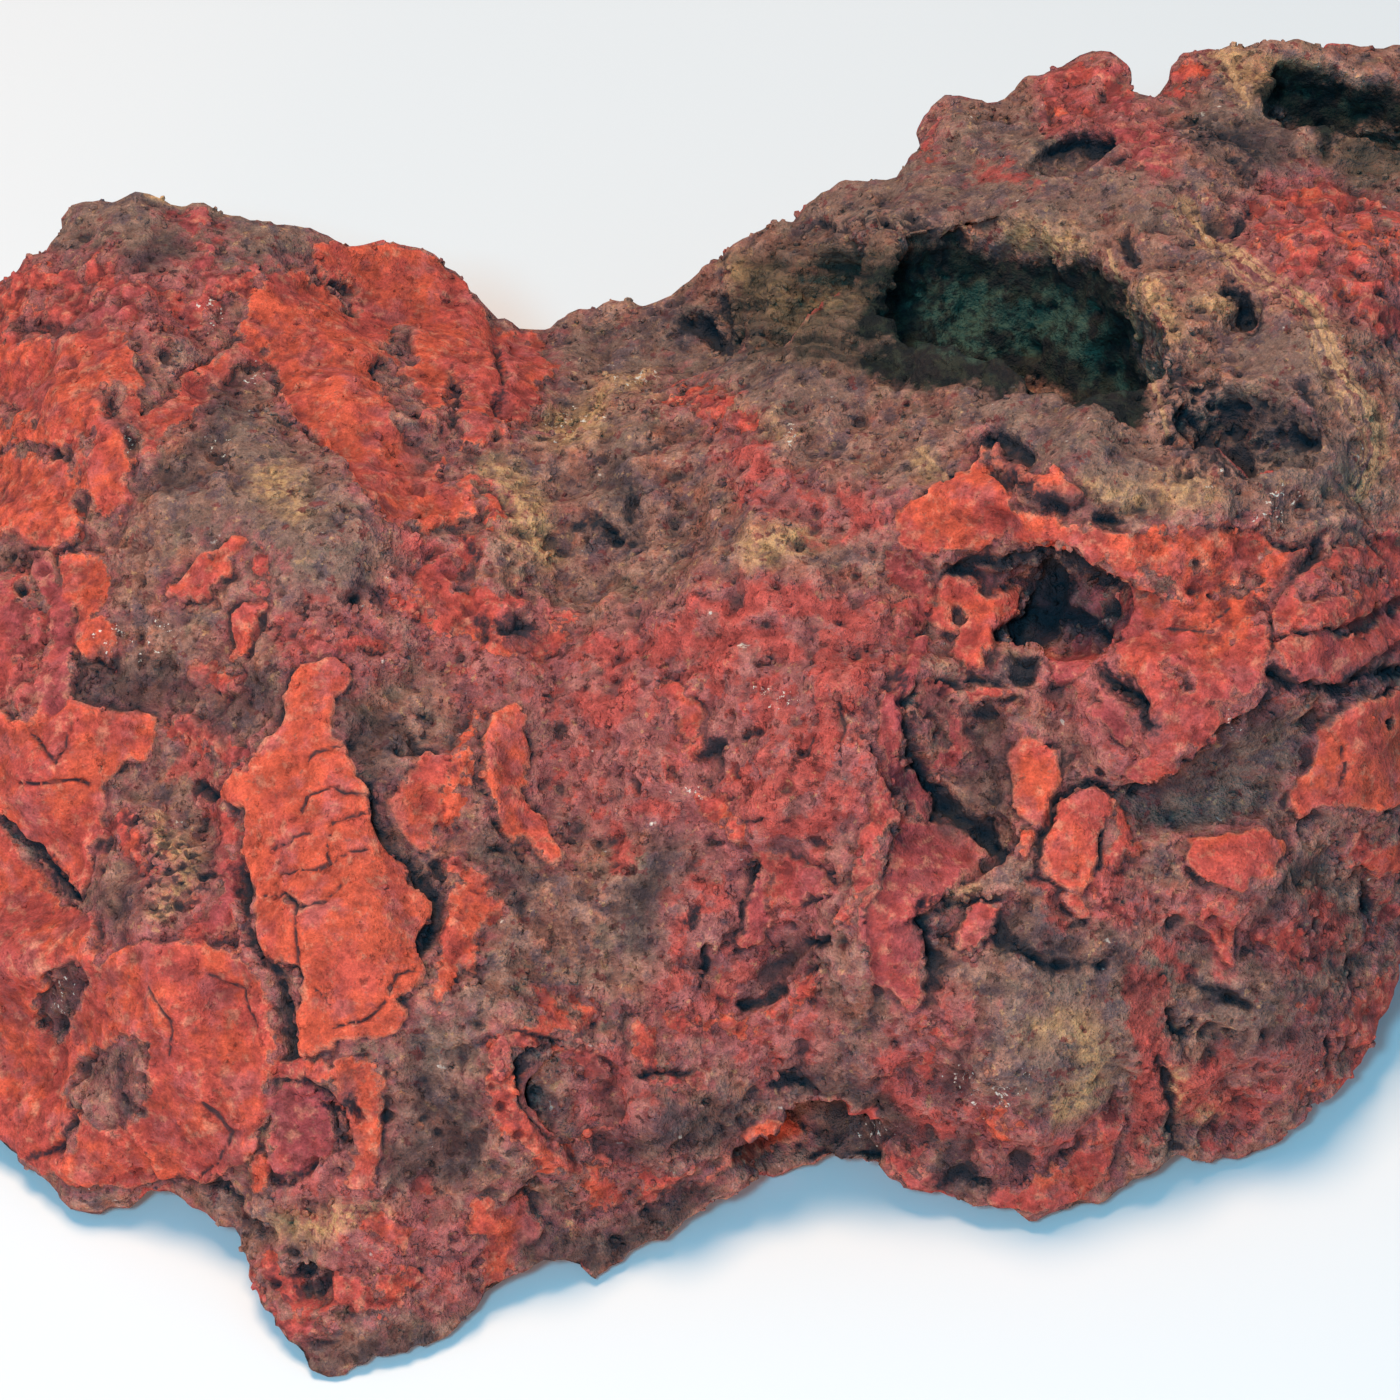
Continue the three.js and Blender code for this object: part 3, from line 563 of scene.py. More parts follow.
# Where rock shows through the crust.
BARE = drawn("""
    -86 47 .9, -80.5 46.2 1.2, -77.5 46.8 .8; -84 51 .6, -81 51.5 .9; -76 52.5 .7, -74 50 1; -87 36 1.5,
    -85 35 1.7; -73.3 37 1.4; -71.3 33.4 1.4, -71 32 1; -76.5 33 1.1; -70.5 45.5, -67.5 45, -65 44,
    -64.5 42, -66.5 39, -68.5 37.5, -69.8 38.5; -62.5 44.2 1.2, -60 45.2 1.3, -57.8 46 .9; -48.5 54.2 1,
    -46.8 52.8 .9; -45 51.5 1.1, -44 49 1; -39 43.2 .9, -37.5 45 1.3, -36 43 1.2; -39.5 41 1.2,
    -37.5 38 2, -35.5 35 1.9, -33.5 31.5 1.5; -31.5 38 1, -30.5 28 1.4; -60.8 17.2 .5; -85.5 14 .8;
    -82.5 -35, -79 -33, -76 -32.8, -75 -35, -77.5 -38, -80 -41, -82.7 -41.5, -82.8 -38; -79.5 -49.5,
    -77.5 -45.5, -74.5 -43, -71.5 -42, -69.5 -44, -69 -48, -69.8 -51.5, -73 -53.5, -77 -52.5;
    -78.3 -53.5 .9, -78.6 -55.5 .6; -86 -1.5 .7, -83.5 -1.8 .5; -51.8 -25.2 .7, -49.5 -25.5 .6; 32 10 1,
    31.5 12 .8; 71.5 57.5 .9, 72.5 55.5 1; 79 59.5 .9, 80.5 58.8 .7; 78.5 55.5 1.3, 79.5 54 1;
    84.5 58.5 1.3, 87 57.5 1; 74 61.5 .8; 66.5 13.5 1, 69 15 1; 58 4 1, 61 2 .9; 62 17 .7; 86 -2.8 .8;
    63.8 -28 .7, 65.5 -29.5 .5; 56 15 1, 58 13.5 .6; 76 13 1, 80 15 1.2, 85 15.5 1; 82 61.5 1; 76 59 .9;
    86 55 1.3, 84 53 1; 72 60 .8; 81 56.5 .8;
""")

# Clusters of small pale crystals.
CRYSTALS = drawn("""
    -71.3 33 .6; -61 48.5 .5; -55.7 41.3 .4; -67 7.7 1.2; -74 7 .8, -71 6.5 1.3; -60 31.7 .5;
    72.5 25.4 .8, 71 23.6 .9; 66.4 -2.6 .7; -1.5 -11.3 .8; -17.5 34.5 .9, -16 36 .7; -9 39.6 .8,
    -6.5 40.6 .9; 10.5 33 .8; 36 -50.5 .8, 40 -47 .7; 33 -47 .9, 35 -48.5 .7; 8.5 1 .6, 11 .5 .6;
    -80 -37 .7; -33 -54.5 .6; 20.5 -54.5 .9, 22.5 -54 .7; 64 27.5 .4;
""")

# Red that has soaked into the rock and has no thickness of its own.
STAIN = drawn("""
    -15 7 1.4, -12 5 1.6, -9 6.5 1.2; -14 0 1.6, -11 -2 1.8, -9 1 1.4; 1 11 1.4, 9 12.5 1.6, 17 11.5 1.6,
    21 9 1.4; -5 7 1.2, 0 6 1.8, 6 8 1.5, 11 7.5 1.3; 17.8 7 .9, 15.8 2 1, 15 -3 1.1, 14.3 -8 .9; 20 6 .8,
    18.6 0 .9, 17.5 -5 .8; 9 3 .8, 8 -1 .9, 7.2 -4 .7; 4 4 1, 5 1 .8; -8 -13 1.2, -4.5 -13.5 1.6;
    -11 -16 1, -9.5 -20 1.3; 10 -16 1.4, 15 -15 1.6, 19 -12 1.3; .5 -22.5 1.2, 2.5 -25 .9; -16 -44 1,
    -10 -46 1.4, -12 -50 1.2; 7 31 1.4, 9 28 1.2, 5 26 1; 18 26 .5, 22 22 .9, 14 20 .4; 45 77 2, 47 74 2,
    44 71.5 1.4; 51 71 1.4, 56 70 1.6; 35 66.5 .8, 42 65.8 .8; -66 -9 1.2, -62 -8 1, -60 -16 1.4,
    -59 -24 1; 55 -34 1.6, 56 -42 2, 56.5 -50 1.8, 55 -55 1.4; 61 -50 1.8, 65 -46 1.6; 66 -50 1.6,
    69 -52 1.4; 76 -25 1.6, 79 -28 1.4, 77 -33 1.4; 26 -50 1.4, 24 -46 1.2; -36 20 1.2, -31 19 1; -48 1 1,
    -52 9 1; 28 -52 1.2, 31 -54 1; 57 -30 1.4, 60 -34 1.2; 42 -24 1, 45 -28 1; 49 -23 1.8, 52 -22 2,
    51 -27 1.4; 64 -28 2.2, 65.5 -32 1.8; 72 -29 1.6, 74.5 -31.5 2; 36 -52 1.4, 38 -55 1.6;
""")

# Red flush in the brown rock.
FLUSH = drawn("""
    -16 2 6, -6 2 9, 6 6 10, 18 6 8; -14 -8 7, 0 -10 9, 12 -10 10, 20 -10 6; 8 -22 9, 2 -36 8, 10 -42 6;
    4 33 2, 8 27 2.6, 16 24 2.4, 26 22 2.6; -48 9 4, -42 7 4; -34 14 5, -28 6 6, -22 8 4; -46 -62 4,
    -40 -68 6, -32 -70 5; -72 -34 6, -60 -31 5; -84 50 5, -72 50 5, -64 50 4; 48 3 6, 56 -4 6, 66 4 6,
    78 10 8; 56.5 -44 1.5, 62 -50 2, 82 -40 2, 66 -54 2; 48 -23 2.4, 53 -25 2, 66 -28 2.4, 76 -30 2;
    30 -40 4, 24 -46 3, 40 -58 4, 50 -56 3; -12 -44 2, -8 -50 2, -12 -62 3; 46 76 3, 52 72 2.6, 57 69 2;
    76 58 8, 86 50 4; -69 -18 3, -66 -25 3.4; -15 -47 2.5, -13 -52 2;
""")

# Yellow-brown limonite blotches.
OCHRE = drawn("""
    -17.5 34 2.4, -14.5 36 2, -11 39 1.2, -6.5 40.3 .9; -26 28 2.4, -22 23 2.8, -19 19 1.6; -53 27 2.5,
    -50 24 1.5; 5 53 2, 12 49 2.5, 20 50 1.6; 56.5 50 1.8, 59 46 1.2; 64 49.5 1.4, 66 49 1; 41 58.5 1.5,
    46 57 1.6; 66 80 1.6, 71 77.5 1.4, 76 78.5 .8; 29 -22 1.4, 33 -23.5 1.6; 60 -49 2.4, 64 -51 1.6;
    27 30 1.2, 30 27 .9; 7 19.5 2, 13 20 1.5; -56 -58 1, -54.5 -54 1.2; -68 -16 1.2, -64 -20 1.4,
    -67 -26 1.2; 42 -42 1.2, 48 -41 1.6, 50 -47 1.6, 45 -52 1.2; -40 -64 1.5, -52 -66 2; 2.5 37.5 1,
    10 33 .8; 46 27 1, 55 26 1.5, 64 25.5 1.2;
""")

# Dark grey and purple-black stains, and painted shade: slate on the ground inside deep hollows and under
# overhangs.
DARK = drawn("""
    -86 47 .7, -80.5 46.2 .9, -77.5 46.8 .6; -36.5 45.2 1; -66.2 27.8 1.5, -63.5 30.5 1.7, -61 33.5 1.4,
    -59 38.5 1.5, -57.3 42 1.2; -73.3 37.3 1, -71.5 33 1.2; -35.5 31.5 1, -34 28.5 .9; -70 55 2,
    -66 56.5 1.4; -86 18 1.4, -83 17.5 1; -44 13 1.8, -41 14 1.2; -13 21.5 1.4, -10 20 .9, -8 25 .8;
    -76 2 3, -69 2.5 3.4, -64 1 2.6; -53 1 2, -56 3.5 1.6, -60 -3 2; -44.5 .5, -40 .5, -37 -2, -36 -6,
    -38.5 -9.5, -42 -10, -44 -7, -44.8 -3; -75.5 -25 1.2, -72.5 -26.5 2, -70.5 -23 1.6; -63 -21 2,
    -60.5 -19 1.4; -78 -35 2, -80 -39 1.8; -44.5 -47.5 .6, -43.5 -56 .7; -76 -46 1, -73 -46 1.4,
    -71 -51 1; -62 -11 1.2; -27 -18 2.4, -23 -24 2.4; -4.5 -19.5 1.6, -6.5 -24.5 2.4, -8 -28.5 1.8;
    -10.3 -24 .7, -9.6 -29 1, -7 -32 .8; -10.5 31 1.2, -10 25 1.2; -40 -13 1.2, -38 -18 1.4,
    -35 -21.5 1.4, -32.5 -25 1.2; 6 -37.5 1.2, 11 -33 2, 14.5 -30.8 1.2; -34 -50 2.4, -31 -57 4,
    -36 -58 3, -28 -50 2; -21.5 -46 .6, -21 -50 .9, -19 -53.5 .6; -6 -18 .6, -7 -25 .8; -13 -45 1,
    -11 -51 1.4; -48 -83 2.6, -42 -82.5 2, -34 -80 2; -20 -69 3, -14 -70 3, -6 -66 3, 0 -62 2.4; -4 -53 3,
    3 -52 3, -10 -56 2.4; 36 -4 3, 36 -11 3, 33 -15 2.4; 57 -11.5 1.2, 62 -9 1.4, 66 -5.5 1.6, 71 -2 1.6;
    70 -27 1.6, 76 -22 1.8; 52 -30 1.2, 56 -38 1; 67 -44 1.2, 72 -42 1.6, 77 -44 1; 34 -44 1.6,
    31 -49 1.4; 69 -34 1.4, 75 -36 1.4; 40 -29 3, 45 -32 2.6; 30 -1 2; 46 14 2.4, 47.5 11 1.8;
    34 17.5 1.4, 40 17 1.6; 53 0 1.6, 56 -3 1.2; 30 -13 1.8, 33 -17 1.8, 37 -19.5 1.4; 28 -29.5 1,
    31 -33 1.4; 9 -47, 14 -45, 20 -46.5, 25 -50, 27 -54, 22 -58, 15 -58, 13.8 -52; 32 -58 3, 30 -62 1.4,
    36 -60 1.6; 60 -56 1.4, 60 -51 1.2; 64 -37 1.6, 69 -38.5 1.2; 72 2 1.6, 70.5 -1 1.2; 82 3 1.6,
    86 4 1.8; 73 14.5 1.2, 77 18.5 1.2; 44 68.5 2, 50 69 2; 0 47.5 2.4, -4 47 1.6; 65 70 3, 70 69 3;
    52 22.5 1.4, 41 26.5 1, 38 33 1.4; 61 35 1.6, 64 31 2.4, 69 35 2.8, 75 33 2.6, 66 37 1.6; 67 51 1.4,
    68.5 47 1.6; 78.5 54.5 1.3; -22 9 1.8; 2 -6 1.4;
""")

# The deep chambers, whose walls are painted nearly black with a green cast: painted shade, tinted like the
# cool light that reaches in.
CHAMBER = drawn("""
    27 48 3, 22.5 48 2.6, 20 46 1.4; 19.5 52.5 1, 24 53 1.6; 22 53, 26 56.5, 32 57.3, 38 55.5, 45 54,
    49.5 55, 52 51.5, 54.5 46, 56 41, 56.2 35.5, 51.5 34.8, 47.5 36, 44.5 39, 41 40.2, 36 39.3, 30 38.9,
    25 39.8, 19 42.7, 20 44.5, 24 45; 69 76.5, 71 78.6, 75 79.2, 80 77.5, 88 76.5, 96 76, 97 72.5,
    88 71.5, 83 72, 78.5 68.8, 76.5 70.5, 73 73.2, 69.5 74.5;
""")

# Brown inner slope that leads down into the main chamber.
SLOPE = drawn("""
    3.6 50, 5 54, 10 56.5, 22 57.5, 30 57, 28 46, 21 42, 12 42.2, 4 43; 78 68.5, 83 72, 90 72, 97 72,
    97 66, 88 65.5, 80 66;
""")

# Calm grey-brown rock with few pits.
GREY = drawn("""
    33 38, 36 39.3, 44 39, 48 36, 52 34.5, 56 31, 58 27, 62 25, 60 23, 52 24, 46 26, 38 33, 34.5 36;
    10 61 2, 20 63 4, 34 66 6, 48 63 5, 58 62 4; -78 61 4, -66 58 5, -54 57 4, -46 57 2; 40 -36 4,
    47 -40 7, 46 -48 7, 46 -54 4; 55 -14 3, 64 -11 6, 72 -6 4; -62 24 5, -48 18 6, -58 34 3; 70 45 4,
    76 42 4, 72 30 4, 80 28 4; 66 74 4, 74 66 3, 84 66 2; -34 -46 3, -30 -40 3; -20 43 2.5, -10 44.5 3,
    0 42 3, 8 39.5 3, 18 39 3; -10.5 33 2.2, -10 27 2.4, -10 22 2; 66 -38 3, 74 -40 4, 79 -37 2;
    58 -29 2.4, 60 -35 3; 34 71 3, 40 70 3, 48 66 2; -2 -12.5, .5 -17, -.5 -24, -3 -30, -7 -33, -10 -30,
    -10.8 -25, -8 -20;
""")

# Rock riddled with round holes.
SPONGE = drawn("""
    57.5 41, 61 42, 64 40, 68.3 38.8, 73 36.8, 77.5 34.5, 79.5 31.5, 77.3 29.5, 70 28, 64 26, 60 27.5,
    58 32; -71 -15.5 1.6, -66 -19 3, -67 -24.5 3, -60.5 -23 1.4; 12 60 1, 24 60.5 1.4, 33 57 1.2;
    61 72.5 1.6, 65 70.5 2.6, 68.5 67.5 2.2; -53 -74 1.6, -49 -72.5 1.8; 44 68.5 1.6, 51 69.5 1.4;
    -12 21 2.2, -9 19 1.4;
""")

# The middle slab, drawn out in leaning streaks.
SLAB = drawn("""
    -14 16, 0 17, 26 17, 27 4, 25 -10, 22 -30, 24 -42, 12 -42, 2 -44, -8 -40, -12 -30, -16 -14, -16 0;
""")

LAMINAE = tuple(Lamina(points, *rest) for points, rest in read_rows("""
    60.5 62, 63.5 57.5, 68 54, 73 51.5, 76.8 48.5, 77.9 43, 81.5 37.5, 84.3 34, 84.6 30.5, 82 26 | 1.8;
    50.7 56, 52.7 49.5, 54.8 44, 56.8 38.5, 58 34 | .9; 27 31.5, 30 28.5, 31 25 | 1; 61 83, 65.5 79.5,
    68 75 | 1.4;
"""))

CRACKS = tuple(Crack(points, *rest) for points, rest in read_rows("""
    -49 -7.3, -47.5 -6, -45 -5.5 | .8; -50 -14, -49 -12, -46 -11.3, -41.5 -12.2 | .9; -47 -19.5,
    -46.2 -15.5, -44 -14.2, -42 -14 | .7; -53.5 -18.8, -51 -17.3, -49 -16.4 | .7; -52.5 -21.6, -48 -20.6,
    -45.5 -19.6, -41.5 -19 | .8; -55 -24.2, -52 -24, -50.5 -25.6, -47 -24.8, -44.5 -22.5 | .7;
    -45.5 -41.3, -42 -40, -39 -37.5, -38 -34.2, -35.8 -33.5 | .9; -48.5 -36, -46 -38.3 | .5; -50.6 -26,
    -50.2 -32, -50 -36 | .8; -69 -36, -66 -40, -66.5 -45 | .5; -62 -34, -57 -36, -54.5 -41 | .5;
    -85 -10.5, -78 -10, -76 -10.6 | 1; 80 -5.5, 80.5 -8.5, 80 -10.5 | .8; 50.5 -20.5, 50.2 -17.5,
    50.8 -14.5 | .9; -84 -4, -80 -8, -79 -3 | 1; -69 -56, -68 -59.5, -64 -60.3, -60 -57.5 | .8; -62 -50,
    -59 -54, -59.5 -57 | .5; 68 14, 71.5 10, 72 6.5 | .9; 58 9, 63 8, 66 11.5 | .6; 13 3, 15 -3, 13.5 -8 |
    .5; 17 1, 18.5 -4, 17.5 -10 | .5; 5.5 -15.8, 8 -14.8, 10 -15.3 | .8; -24 -41, -18 -42.5 | .8;
"""))

# Crevices and holes, painted nearly black inside as their shade: the deeper inside a stroke, the deeper the
# cut.
VOIDS = drawn("""
    -90 -12.5 .9, -87.5 -14.5 .8, -85 -16.5 .9, -82 -19.5 .9, -79.5 -23 .9, -78 -24.3 .6; -57.7 -21 .5,
    -57.5 -24 .8, -57 -27 .6; -57 -28.5 .35, -55 -31.5 .4, -52.4 -33.8 .5; -52.2 -36 .5, -51.8 -41 .6,
    -51.7 -44.5 .5; -41.2 -10.5 .4, -40.3 -15 .6, -38.8 -18.5 .6, -36 -21.5 .6, -33.3 -24.5 .6,
    -32.9 -28 .9, -34.2 -30.5 .4; -37.5 -7 .4, -34.5 -5.6 .4, -32.5 -6 .4; -33 -20.5 .6, -32.2 -22.2 .5;
    -49.3 -47.6 .4, -46.5 -49.3 .6, -45.2 -51.5 .6, -44.9 -54.5 .4; -44.2 -49.5 .4, -42.2 -52.3 .5;
    -47.5 -57.5 .4, -50 -59.3 .5, -53 -59 .4; -22.3 -44.8 .6, -22.2 -48 .8, -20.8 -51.5 .6,
    -18.7 -54.5 .4; -21.5 -43.9 .5, -18.5 -43.4 .5; -7.7 -46.8 .3, -5 -46.4 .5, -1.5 -46.8 .3; -25 9.2 .8,
    -22 9.8 .9, -20 9.5 .6; -27.6 9.7 .5, -27.2 7.8 .5; -29.5 20 .4, -28 18.4 .5; -8.6 27.5 .35,
    -9 23.5 .5; -15 21.5 .4, -12.5 22.3 .5, -11 20.3 .4; -1.8 46.6 .9, 1 46.5 1.3, 2.6 44.5 .9;
    32.3 16.5 .5, 35 17.3 .7, 38.5 17.5 1, 43 19 1, 46.5 17.3 1.1, 50 15.3 1, 54 14 .5; 44 15.5 2.6,
    43.5 12 2.7, 41.2 7.5 2.3, 40.3 3.5 1.9; 33.6 2.9 .4, 38.7 2.4 .5; 50 3.2 .5, 52 1.7 .9, 54.5 -.5 .9,
    55.8 -2.8 .5; 70.8 6 .4, 71.8 3.8 .7, 73.5 2.3 .8, 76 1.5 .6, 79.5 .8 .8, 82 3 .9, 86 3.5 .9,
    92 4.5 .9; 71 .5 .6, 68 -2 .5, 65 -4.3 .8, 61.5 -7.5 .5, 58 -9.3 .4, 54.5 -12 .4; 77.8 19.5 .6,
    76.5 17.7 .7, 74.5 16 .5, 73 14.3 .4; 24.2 3.5 .5, 26 -.5 .6, 26.7 -5 .6, 29 -10.5 .8, 31 -12.5 1.2,
    33 -15.2 1.3, 36 -18 .9, 38 -19.5 .5; 27.4 -25.5 .5, 28.3 -28 .8, 29.5 -32 1.1, 29.2 -35 .7;
    28.5 -25.4 .4, 32 -24.9 .5, 35 -24.3 .4; 37.6 -28 .8, 38.5 -30.5 1.3, 41 -31.8 1, 46 -33.5 .6;
    42.5 -21.5 .4, 42.5 -16 .5, 44 -12.2 .5, 47.5 -10.8 .4, 51 -11 .3; 9 -48.5 .6, 12 -47.5 1.1,
    14 -48.6 .6; 19 -57.5 1, 22 -57 .8; 13.5 -57.5 .7, 16 -57 1; 0 -6.5 .5, 2.5 -5.5 .9, 4.3 -5.3 .4;
    6.3 -21.5 .4, 6.3 -24 .6, 5.2 -28.5 .4; -.9 -27 .5, -1 -28.2 .6; 1 -31 .3, 1.3 -33 .5, .3 -36 .4;
    5.7 -38 .5, 8.5 -37.8 .6, 10 -36.3 .4; 12.2 -30.6 .5, 15.5 -30 .4; 61 -34.6 .5, 65 -37 .6,
    68.7 -38.7 .7; 58.3 -39 .4, 60.5 -42.5 .5, 61.8 -40.3 .4; 78.8 -42.3 .4, 79.4 -46 .5; 83 -23.5 .7,
    83.6 -26 .9; 59.5 -57.5 .8, 59.2 -51 .7, 57.5 -45 .4; -78 -52.5 .4, -80 -56 .5, -84 -57.5 .4;
    -68 -60 .4, -61 -60.6 .5, -57 -62.5 .5; -31 42 .4, -30.7 38 .5, -30.3 35 .4; -25.8 44 .3, -24.6 40 .5,
    -25.5 37 .4; 3 50.5 .4, 3.6 46 .5, 3.8 43 .4; 36 33.5 .6, 38.5 32.7 .9, 40.7 31.2 .6; 37.8 29.3 .4,
    41 27.3 .6, 45 24 .5; 49.7 22.6 .6, 52.3 22.3 .9; 30 -61 .5, 32.5 -59.5 .9, 36 -61 .5; 44 68.2 1.1,
    47 69.6 1.3, 51 68.7 1.2; 66.3 51.4 1, 68.4 50 1.1, 68.8 47.3 1.1; 67.3 60.3 .9, 67 58.8 .6;
    75.6 39.3 .7, 76.8 38 .9; 53.2 57.5 .8, 54 55.5 .7; -62 -10.8 .9, -61 -12 .9; 45 11.5 .8, 48.5 10 .9,
    52 7 .6; 60 36 .5, 61.5 34 .7; 74 33 .6, 77 32 .7; 47 -33 .4, 50.5 -33.5 .4;
""")

LEDGES = tuple(Ledge(points, *rest) for points, rest in read_rows("""
    21 -34, 20.8 -28, 22.5 -22, 24.6 -17, 23.6 -12, 21.6 -8 | 1.7 5; 25.5 4, 23.5 0, 24.5 -5.5 | 1.2 3;
    35.5 -24.5, 31 -25.3, 28.3 -26.6 | -1.2 4; 55 -10, 60 -8.6, 63 -7, 65 -3.6, 69 -1.4 | 1.9 5; 71 8.2,
    75 8.4, 80 9, 84 12, 90 13.4 | 1.5 4; 71.5 4, 75 1.5, 79 1, 82 4, 87 7.5 | 1.3 3.5; 32 16.5, 37 15.8,
    42 17.2, 47 15.8, 55 13.5 | 1.4 4; 31 2.8, 36 3.2, 36.4 9, 41.3 11 | 1.2 3.5; -53 -45, -52.6 -38,
    -53 -34.5, -56 -31, -58 -26 | 1 5; -57 -63.5, -60 -60.7, -67 -60, -69 -57 | -1.2 5; -79 -24.5,
    -82 -21, -84.5 -17.8, -89 -14 | -1 4; -29 -43, -24 -41.2, -17 -42.3 | .9 3; -14 -58.3, -19 -56.5,
    -21.6 -52.5, -23.3 -47 | 1 3.5; 60 21.5, 66 22.5, 74 20, 80 21.5, 88 20 | .9 3; 24 39.4, 32 39,
    44 39.4, 47 37, 52 35, 57 36 | -.8 3; -45 29.5, -49 32.8, -51.5 37.5, -55 41 | .9 4; -35 22.6,
    -38.5 22.3, -42 24.5, -45 29.5 | .9 4;
"""))

FILLS: tuple[Fill, ...] = (Fill((-16, -49), 7.0, 0.8), Fill((-50, -54), 6.4, 0.85))

PITS = tuple(Pit(points[0], *rest) for points, rest in read_rows("""
    23.5 60 | 1.2 1.6; 26 61 | .8 1; 18 59 | 1 1.2; 33 57 | 1 1.3; 29 58.5 | .8 1; 15 60 | .7 1; 20.5 59.5
    | .6 .8; 64 40 | 1.1 1.6; 67 41 | .8 1.2; 58.5 33 | .8 1.6; 62.5 38.5 | .8 1.2; 59.5 39.5 | .7 1.2;
    -38.7 -53 | .75 1.6; -24.8 -51.5 | .7 1.3; -22.6 -54.4 | .8 1.3; -20 -58.2 | .5 1; -25.6 -48.4 | .6 1;
    -26.5 -46.4 | .5 1; -24.5 -55 | .5 .9; -14.5 -72.5 | 3 -2.2; 47 12 | 2.4 -1.6; 49.5 8 | 1.7 -1.3;
    45.5 14.5 | 1.5 1.5; 44.5 9.5 | 1.2 -1.2; 51 11.5 | 1.4 1.2; 46 4.5 | 1.6 -1.4; -50.5 -54 | 5 -1.8;
    -50.5 -73 | 3.5 -1; -54 -77 | .8 1.2; -53.5 -73 | .9 1.2; -49.5 -71.5 | 1 1.4; -52 -69.5 | .7 1; 80 62
    | .6 1; 61 13.4 | .8 1.2; 64 12.7 | .6 1; -35 26 | .9 1.3; -85 14 | 1 1.6; -71.5 33 | 1.1 1.2; -82 16
    | .8 1; -74 36.5 | 1.2 1.2; -56 41.5 | .9 1.2; -8 -8.3 | .5 .9; 14 5 | .6 .9; -80 -40 | 1 1.2; 59 -28
    | 1.1 1.2; 50 -9 | .9 1.2; 41 -47 | .5 .7; -43 12.5 | 1 1; 30.5 .5 | 1 1; -31.5 -46.5 | .5 .8; -33 -54
    | .7 .9; 70 62 | .9 1.1;
"""))


# ----------------------------------------------
# The stone
# ----------------------------------------------

# The least and the greatest depth inside its shapes, in millimetres, that a colour field holds.
FIELD_LOW = -3.0
FIELD_HIGH = 6.0
FINE_FIELD_HIGH = 3.0

# Distance from a crack, in millimetres, past which it no longer matters.
CRACK_REACH = 3.0


class Field(Enum):
    """Names of the numbers that every vertex of the stone carries for its finish."""

    CRUST = "crust_depth"
    TONE = "crust_tone"
    ROUGH = "crust_rough"
    FLUSH = "red_flush"
    OCHRE = "ochre"
    DARK = "dark_stain_and_shade"
    GREY = "grey_rock"
    SPONGE = "sponge"
    CHAMBER = "chamber"
    SLOPE = "chamber_slope"
    LAMINA_IN = "lamina_inside"
    LAMINA_AT = "lamina_at"
    CRACK = "crack_away"
    HOLLOW = "hollow"
    STREAK = "streak"
    CRUMBS = "crumb_share"
    STAIN = "red_stain"
    VOID = "void_depth"
    BANDS = "bands"
    CAVITY_SHADE = "cavity"
    CRYSTAL = "crystal"


Fields = dict[Field, Array]


def new_object(name: str, content: bpy.types.ID) -> bpy.types.Object:
    """Put a mesh, a light or a camera in the scene as an object at the origin.

    Args:
        name: The object's name.
        content: What the object holds.

    Returns:
        The object.
    """
    made = bpy.data.objects.new(name, content)
    bpy.context.scene.collection.objects.link(made)
    return made


def evaluated_mesh(carrier: bpy.types.Object) -> bpy.types.Mesh:
    """Turn an object with modifiers into a plain mesh.

    Args:
        carrier: Object whose modifiers are to be applied; it is removed.

    Returns:
        The resulting mesh.
    """
    graph = bpy.context.evaluated_depsgraph_get()
    graph.update()
    mesh = bpy.data.meshes.new_from_object(carrier.evaluated_get(graph), depsgraph=graph)
    bpy.data.objects.remove(carrier, do_unlink=True)
    return mesh


def vertex_array(mesh: bpy.types.Mesh, what: str) -> Array:
    """Read three numbers per vertex.

    Args:
        mesh: Mesh to read.
        what: Either "co" or "normal".

    Returns:
        One row per vertex.
    """
    values = np.empty(len(mesh.vertices) * 3)
    mesh.vertices.foreach_get(what, values)
    return values.reshape(-1, 3)


def place_vertices(mesh: bpy.types.Mesh, points: Array) -> None:
    """Move a mesh's vertices to new places, given in metres."""
    mesh.vertices.foreach_set("co", points.ravel())
    mesh.update()


def edge_ends(mesh: bpy.types.Mesh) -> tuple[Array, Array]:
    """Read which vertices every edge joins.

    Args:
        mesh: Mesh to read.

    Returns:
        The first and the second vertex of every edge.
    """
    ends = np.empty(len(mesh.edges) * 2, dtype=np.int64)
    mesh.edges.foreach_get("vertices", ends)
    first, second = ends.reshape(-1, 2).T
    return first, second


def neighbour_sums(ends: tuple[Array, Array], values: Array) -> Array:
    """Add up each vertex's neighbours.

    Args:
        ends: The ends of the edges.
        values: Three numbers per vertex.

    Returns:
        The sums, three numbers per vertex.
    """
    first, second = ends
    sums = np.zeros_like(values)
    for axis in range(3):
        sums[:, axis] += np.bincount(first, values[second, axis], len(values))
        sums[:, axis] += np.bincount(second, values[first, axis], len(values))
    return sums


def settled(mesh: bpy.types.Mesh, points: Array, share: Array, passes: int) -> Array:
    """Draw vertices towards the middle of their neighbours.

    Args:
        mesh: Mesh whose edges join the vertices.
        points: The vertices' places.
        share: How far each goes in one pass, from 0 to 1.
        passes: How many passes.

    Returns:
        The new places.
    """
    ends = edge_ends(mesh)
    valence = np.maximum(neighbour_sums(ends, np.ones_like(points)), 1.0)
    for _ in range(passes):
        points = points + share[:, None] * (neighbour_sums(ends, points) / valence - points)
    return points


def triangle_count(mesh: bpy.types.Mesh) -> int:
    """How many triangles a mesh makes."""
    return sum(len(face.vertices) - 2 for face in mesh.polygons)


